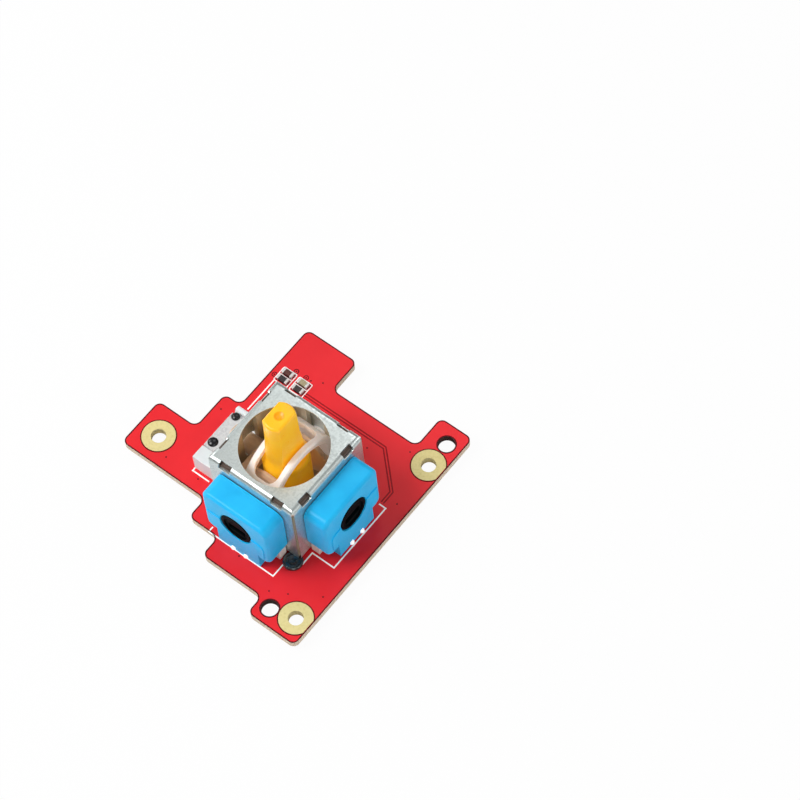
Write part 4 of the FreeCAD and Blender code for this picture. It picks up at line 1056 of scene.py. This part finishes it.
@dataclass
class ChipParts:
    """The four chip parts behind the module."""

    bench: Workbench
    edge_mm: float = 0.05
    shadow_margin_mm: float = 0.07
    shadow_round_mm: float = 0.1
    shadow_levels_mm: Span = (-0.01, 0.008)
    colours: tuple = (("#4A2420", "#6A3A30"), ("#B4A582", "#8F8465"), ("#1E1B1C", "#3A3234"),
                      ("#2B2422", "#4C3F3A"))

    def build(self) -> None:
        """Dresses each chip part in its own ceramic."""
        for number, (colour, fleck) in enumerate(self.colours, start=1):
            low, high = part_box(f"chip_{number}")
            ceramic = ChipCeramic(f"chip_ceramic_{number}", colour, fleck, (low.x + high.x) / 2)
            self.bench.softened(f"chip_{number}", Body.ROOT, ceramic.material(), "chip_ceramic", self.edge_mm)
        # Painted shadow: a dark film round each chip
        self.add_painted_shadows(Coat("chip_painted_shadow", "#2E0C0E", "#431114", 0.6, gloss=0.15).material())

    def add_painted_shadows(self, finish: Finish) -> None:
        """Adds a dark film round each chip's two pads, a painted shadow where the chip shades the mask.

        Args:
            finish: its material.
        """
        wider = np.array([(-1, -1), (1, 1)]) * self.shadow_margin_mm * MM
        levels = [self.bench.board_top + level * MM for level in self.shadow_levels_mm]
        for number in range(1, len(self.colours) + 1):
            corners = np.array([corner[:2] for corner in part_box(f"chip_{number}")]) + wider
            ring = rounded(corners, self.shadow_round_mm * MM)
            rings = [np.column_stack([ring, np.full(len(ring), level)]) for level in levels]
            mesh = mesh_of(f"chip_shadow_film_{number}", np.stack(rings))
            self.bench.piece(mesh, Body.ROOT, finish, "solder_mask")


@dataclass
class CoveredBase:
    """The plated steel cover and the moulded base under it."""

    bench: Workbench
    cover_edge_mm: float = 0.05
    base_edge_mm: float = 0.08
    latches_mm: float = 1.1
    disc_place_mm: Place = (6.12, -7.42)
    disc_mm: tuple = ((0, 0.3), (0.45, 0.31), (0.6, 0.4), (0.75, 0.42), (0.9, 0.33), (1.02, 0.32), (1.1, 0.4),
                      (1.2, 0.38), (1.3, 0.22), (1.32, 0.05))

    def build(self) -> None:
        """Dresses the cover, the base and the solder that holds them."""
        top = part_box("top_cover")[1].z
        steel = PlatedSheet("tin_plated_steel", "#D8E0DE", "#BDC6C4", 0.28, bare=0.85)
        self.bench.softened("top_cover", Body.ROOT, steel.material(), "cover_steel", self.cover_edge_mm)
        # The base's olive inside and dark latches are painted shade
        base = LatchedNylon("base_nylon", "#E4E8E9", "#BFB39C", "#54443A", self.bench.axis,
                            top - self.latches_mm * MM)
        self.bench.softened("base_housing", Body.ROOT, base.material(), "housing_plastic", self.base_edge_mm)
        # Solder that ran well is smooth and bright, and the round at the front leg is darker and duller
        solder = Coat("reflowed_solder", "#9A9DA0", "#6E7276", 0.2, 1.0, 0.6).material()
        dark = Coat("dark_solder", "#5C6062", "#36393B", 0.22, 0.8, 0.5).material()
        self.bench.softened("solder_joints", Body.ROOT, solder, "solder")
        self.add_solder_disc(dark)

    def add_solder_disc(self, finish: Finish) -> None:
        """Adds the round of solder at the front leg, with the rings that it leaves as it cools.

        Its section of radius and height is turned about an upright line.

        Args:
            finish: its material.
        """
        steps = np.array(self.disc_mm) * MM
        profile = np.vstack([[(0, 0), (steps[-1, 0], 0)], steps[::-1]]) + (0, self.bench.board_top)
        disc = self.bench.spun("solder_round", profile, self.bench.from_axis(self.disc_place_mm), LARGE,
                               Body.ROOT, finish, "solder", smooth=SOFT)
        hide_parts("solder_disc")


@dataclass
class TiltSensor:
    """One of the two blue tilt sensors, told by its name."""

    bench: Workbench
    sensor: Sensor
    rotor_body: Body
    shared: dict = field(default_factory=dict)
    housing_edge_mm: float = 0.1
    rotor_edge_mm: float = 0.07
    back_plate_edge_mm: float = 0.06
    tip_mm: float = 0.37
    tip_height_mm: float = 0.5
    tip_reach_mm: float = 10.28
    notch_mm: float = 1.0

    def build(self) -> None:
        """Dresses the sensor's pieces, with finishes that both sensors share."""
        if not self.shared:
            self.shared.update(self.finishes())
        self.add_tips(self.shared["bright"])
        for piece, body, stuff, slot, edge_mm in (
                ("housing", Body.ROOT, "blue", "sensor_plastic", self.housing_edge_mm),
                ("rotor", self.rotor_body, "black", "rotor_plastic", self.rotor_edge_mm),
                ("back_plate", Body.ROOT, "white", "white_plastic", self.back_plate_edge_mm)):
            self.bench.softened(f"{self.sensor.value}_{piece}", body, self.shared[stuff], slot, edge_mm)
        for piece, stuff in (("element", "laminate"), ("wiper", "bronze"), ("terminals", "tin")):
            self.bench.dress(f"{self.sensor.value}_{piece}", self.shared[stuff])

    def add_tips(self, finish: Finish) -> None:
        """Adds the bright lump of solder that looks out of each notch in the housing's lower edge.

        A lump is a quarter of an ellipse turned about an upright line.

        Args:
            finish: the solder's material.
        """
        profile = dome(self.tip_mm * MM, self.tip_height_mm * MM, 6) + (0, self.bench.board_top)
        for number, across in enumerate((-self.notch_mm, self.notch_mm), start=1):
            place = (self.tip_reach_mm, across) if self.sensor is Sensor.X else (across, -self.tip_reach_mm)
            self.bench.spun(f"{self.sensor.value}_tip_{number}", profile, self.bench.from_axis(place), TINY,
                            Body.ROOT, finish, "solder")

    @staticmethod
    def finishes() -> dict[str, Finish]:
        """Builds the finishes of a sensor.

        Returns:
            Material by the word that its colour or stuff is known by.
        """
        return {
            # Filled polyester from a fine mould: strong colour under a low sheen, and a faint painted glow
            "blue": Moulded("sensor_blue_polyester", "#24BDF5", "#1DB3EE", 0.36, 0.12, 0.35,
                            (0.4, 0.7, 1.0), 0.006, gloss=0.24, lit=0.05).material(),
            # Oiled black acetal, which the window leaves almost no light
            "black": Moulded("rotor_black_acetal", "#02080A", "#060D10", 0.5, ripple_mm=0.003,
                             gloss=0.03).material(),
            "white": Moulded("back_plate_white", "#EFE9E2", "#E2DACF", 0.45, 0.2, 0.4).material(),
            # A lump of solder mirrors the whole bright room: drawn as white plastic with a strong painted
            # glow, an emission that stands in for that reflection
            "bright": Moulded("bright_solder", "#FAFAF8", "#EFEFEC", 0.3, lit=0.5).material(),
            "laminate": Coat("paper_laminate", "#6B4426", "#52331D", 0.55).material(),
            "bronze": PlatedSheet("phosphor_bronze", "#C79A5B", "#A87C42", 0.28).material(),
            "tin": PlatedSheet("tinned_strip", "#E4E5E2", "#C9CAC6", 0.22, 0.2).material(),
        }


@dataclass
class Gimbal:
    """The stick, its two yokes, its spring and the foot that the spring holds down."""

    bench: Workbench
    stem_edge_mm: float = 0.12
    yoke_edge_mm: float = 0.1
    foot_edge_mm: float = 0.08
    dimple_shade_lift_mm: float = 0.004
    dimple_shade_mm: tuple = ((0, -0.28), (0.66, -0.28), (0.66, 0.0), (0.56, -0.02), (0.4, -0.13), (0.2, -0.19),
                      (0, -0.2))

    def build(self) -> None:
        """Dresses every piece of the gimbal."""
        # Acetal lets light in, so its thin edges look warmer than its middle; a painted glow, an emission of
        # its own colour, adds to that
        yellow = Moulded("stick_yellow_acetal", "#FFC018", "#FDB612", 0.32, 0.3, 0.6, (1.0, 0.6, 0.12),
                         0.006, 1.48, lit=0.15)
        self.bench.softened("stem", Body.STEM, yellow.material(), "stem_plastic", self.stem_edge_mm)
        self.add_dimple_shade()
        # The yokes and the foot also get a painted glow through lit, an emission of their own colour
        natural = Moulded("arch_natural_acetal", "#F1E8E2", "#E9DDD6", 0.36, 0.5, 0.8, (1.0, 0.8, 0.65),
                          lit=0.16).material()
        for node, body, edge_mm in (("upper_yoke", Body.UPPER_YOKE, self.yoke_edge_mm),
                                    ("spring_foot", Body.FOOT, self.foot_edge_mm)):
            self.bench.softened(node, body, natural, "upper_yoke_plastic", edge_mm)
        tan = Moulded("yoke_natural_nylon", "#D5BBA2", "#C8A88A", 0.4, 0.4, 0.8, (1.0, 0.65, 0.4), lit=0.05)
        self.bench.softened("lower_yoke", Body.LOWER_YOKE, tan.material(), "lower_yoke_plastic",
                            self.yoke_edge_mm)
        wire = PlatedSheet("spring_wire", "#C9CCCC", "#9EA2A3", 0.25)
        self.bench.softened("return_spring", Body.STEM, wire.material(), "spring_steel", smooth=WIRE)

    def add_dimple_shade(self) -> None:
        """Adds a deeper amber lining in the dimple on the stick's top, painted shade of the dimple.

        Its section of radius and height is turned about the stick's axis.
        """
        profile = np.array(self.dimple_shade_mm) * MM + (0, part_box("stem")[1].z + self.dimple_shade_lift_mm * MM)
        # Painted shade: the dimple's lining is a darker amber, with a little painted glow
        amber = Moulded("stick_dimple_painted_shade", "#FAA806", "#F4A004", 0.34, 0.2, 0.4, lit=0.08)
        self.bench.spun("dimple_shade", profile, self.bench.axis, MIDDLING, Body.STEM, amber.material(),
                        "stem_plastic", smooth=SOFT)


@dataclass
class PressSwitch:
    """The push switch under the lower yoke's end."""

    bench: Workbench
    body_edge_mm: float = 0.08
    plate_edge_mm: float = 0.04
    plunger_edge_mm: float = 0.05
    sunk_mm: float = 0.02
    pegs_mm: tuple = ((-11.38, -1.48), (-11.38, 3.05))
    heads_mm: tuple = (0.7, 0.56)
    head_share: float = 0.5

    def build(self) -> None:
        """Dresses the switch's pieces."""
        pegs_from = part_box("switch_plate")[1].z - self.sunk_mm * MM
        white = StakedPlastic("switch_white_nylon", "#D3D4D5", "#C5C6C7", "#17181B", pegs_from)
        plate = PlatedSheet("switch_steel", "#E4E4E3", "#C9C8C9", 0.32, bare=0.6)
        for node, finish, slot, edge_mm in (
                ("switch_body", white, "switch_plastic", self.body_edge_mm),
                ("switch_plate", plate, "switch_steel", self.plate_edge_mm)):
            self.bench.softened(node, Body.ROOT, finish.material(), slot, edge_mm)
        self.add_peg_heads(pegs_from)
        knob = Moulded("plunger_nylon", "#E3E0D8", "#D3CFC5", 0.4)
        self.bench.softened("switch_plunger", Body.PLUNGER, knob.material(), "switch_plastic",
                            self.plunger_edge_mm)
        self.bench.dress("switch_dome", PlatedSheet("dome_steel", "#D2D4D3", "#AEB2B1", 0.2).material())
        tin = PlatedSheet("switch_tinned_strip", "#E4E5E2", "#C9CAC6", 0.22, 0.2)
        self.bench.dress("switch_terminals", tin.material())

    def add_peg_heads(self, plate_top: float) -> None:
        """Adds the head that each melted peg was pressed into, a glossy dark dome on the plate.

        A head is a quarter of an ellipse turned about an upright line.

        Args:
            plate_top: height of the plate's upper face, in metres.
        """
        black = Moulded("melted_peg", "#101114", "#1B1D21", 0.22, ripple_mm=0.012).material()
        for number, (place, radius_mm) in enumerate(zip(self.pegs_mm, self.heads_mm), start=1):
            profile = dome(radius_mm * MM, self.head_share * radius_mm * MM, 7) + (0, plate_top)
            self.bench.spun(f"peg_head_{number}", profile, self.bench.from_axis(place), SMALL, Body.ROOT,
                            black, "switch_plastic")


@dataclass
class Studio:
    """Plain pale floor, soft lights and the camera at the photograph's angle.

    The camera looks at a point on the board's upper face. Bearing is the way from that point to the
    camera, turned from +X, and roll turns the camera about its own line of sight. Each lamp has a bearing
    and an elevation in degrees, and a power in watts.
    """

    target_mm: tuple[float, float, float] = (6.9008, 16.7972, 1.9)
    distance_mm: float = 438.613
    bearing: float = -46.104
    elevation: float = 60.794
    roll: float = -6.463
    lens: float = 155.727
    clip: Span = (0.01, 10.0)
    floor_half_mm: float = 1500.0
    floor: str = "#E8E8E8"
    floor_seen: float = 0.96
    paper_mm: float = 1.5
    paper_depth_mm: float = 0.01
    room: str = "#FFFFFF"
    ambient: float = 0.06
    horizon: float = 0.03
    zenith: float = 0.3
    overhead: float = 0.9
    lamp_away_mm: float = 300.0
    lamp_width_mm: float = 150.0
    lamps: tuple = (
        ("left", -138.0, 55.0, 0.58),
        ("left_low", -140.0, 25.0, 0.1),
        ("back_left", 179.0, 32.0, 0.2),
        ("back", 112.0, 55.0, 0.105),
        ("right", 44.0, 27.0, 0.21),
        ("front_right", 0.0, 25.0, 0.11),
        ("front", -46.0, 27.0, 0.2),
    )

    def direction(self, bearing: float, elevation: float) -> Vector:
        """Unit vector from the object towards a bearing and an elevation in degrees."""
        turn, rise = math.radians(bearing), math.radians(elevation)
        return Vector((math.cos(rise) * math.cos(turn), math.cos(rise) * math.sin(turn), math.sin(rise)))

    def build(self) -> None:
        """Makes the floor, the world, the lamps and the camera."""
        bpy.context.scene.view_settings.view_transform = "Standard"
        self.make_floor()
        self.make_world()
        for name, bearing, elevation, power in self.lamps:
            lamp = bpy.data.lights.new(name, "AREA")
            lamp.shape = "DISK"
            lamp.size = self.lamp_width_mm * MM
            lamp.energy = power
            holder = bpy.data.objects.new(name, lamp)
            bpy.context.scene.collection.objects.link(holder)
            towards = self.direction(bearing, elevation)
            holder.location = towards * self.lamp_away_mm * MM
            holder.rotation_euler = towards.to_track_quat("Z", "Y").to_euler()
        self.make_camera()

    def make_floor(self) -> None:
        """Makes a flat floor of matt paper that looks pale to the camera and keeps the object's shadow."""
        half = self.floor_half_mm * MM
        mesh = bpy.data.meshes.new("floor")
        mesh.from_pydata([(-half, -half, 0), (half, -half, 0), (half, half, 0), (-half, half, 0)], [],
                         [(0, 1, 2, 3)])
        floor = bpy.data.objects.new("floor", mesh)
        bpy.context.scene.collection.objects.link(floor)
        shade = Shade("pale_paper")
        shade.set(Base_Color=linear(self.floor), Roughness=0.9)
        bright = shade.add("Emission", {"Color": linear(self.room), "Strength": 1.0})
        seen = (shade.add("LightPath", out="Is Camera Ray"), self.floor_seen)
        share = shade.add("Math", seen, operation="MULTIPLY")
        mixed = shade.add("MixShader", (share, shade.shader.outputs[0], bright))
        output = next(node for node in shade.tree.nodes if node.type == "OUTPUT_MATERIAL")
        shade.feed(output, {"Surface": mixed})
        fibres = {"Height": shade.grain(self.paper_mm, EVEN), "Distance": self.paper_depth_mm * MM}
        shade.set(Normal=shade.add("Bump", fibres))
        mesh.materials.append(shade.material)

    def make_world(self) -> None:
        """Makes the room: white where the camera sees it, even where it lights the object.

        A mirror sees it bright overhead and dimmer towards the horizon, as in a light tent.
        """
        world = bpy.data.worlds.new("room")
        world.use_nodes = True
        bpy.context.scene.world = world
        nodes = Nodes(world.node_tree)
        back = nodes.add("SeparateXYZ", (nodes.add("NewGeometry", out="Incoming"),), "Z")
        rise = nodes.add("Math", (back, -1.0), operation="MULTIPLY")
        mirrored = nodes.add("MapRange", (rise, 0.0, self.overhead, self.horizon, self.zenith))
        glossy, seen = (nodes.add("LightPath", out=f"Is {name} Ray") for name in ("Glossy", "Camera"))
        lit = nodes.add("Mix", {0: glossy, 2: self.ambient, 3: mirrored})
        strength = nodes.add("Mix", {0: seen, 2: lit, 3: 1.0})
        nodes.feed(world.node_tree.nodes["Background"], {"Color": linear(self.room), "Strength": strength})

    def make_camera(self) -> None:
        """Makes the camera and hands it to the scene."""
        camera = bpy.data.cameras.new("camera")
        camera.lens = self.lens
        camera.clip_start, camera.clip_end = self.clip
        holder = bpy.data.objects.new("camera", camera)
        bpy.context.scene.collection.objects.link(holder)
        back = self.direction(self.bearing, self.elevation)
        holder.location = Vector(self.target_mm) * MM + back * self.distance_mm * MM
        holder.rotation_mode = "QUATERNION"
        level = (-back).to_track_quat("-Z", "Y")
        holder.rotation_quaternion = level @ Quaternion((0, 0, 1), math.radians(self.roll))
        bpy.context.scene.camera = holder


def main() -> None:
    """Builds the whole scene in order."""
    logging.basicConfig(level=logging.INFO, format="%(message)s")
    bench = Workbench()
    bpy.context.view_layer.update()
    shared: dict[str, Finish] = {}
    for assembly in (PrintedBoard(bench), ChipParts(bench), CoveredBase(bench),
                     TiltSensor(bench, Sensor.X, Body.X_ROTOR, shared),
                     TiltSensor(bench, Sensor.Y, Body.UPPER_YOKE, shared),
                     Gimbal(bench), PressSwitch(bench), Studio()):
        assembly.build()
        LOG.info("%s built", type(assembly).__name__)


if __name__ == "__main__":
    main()
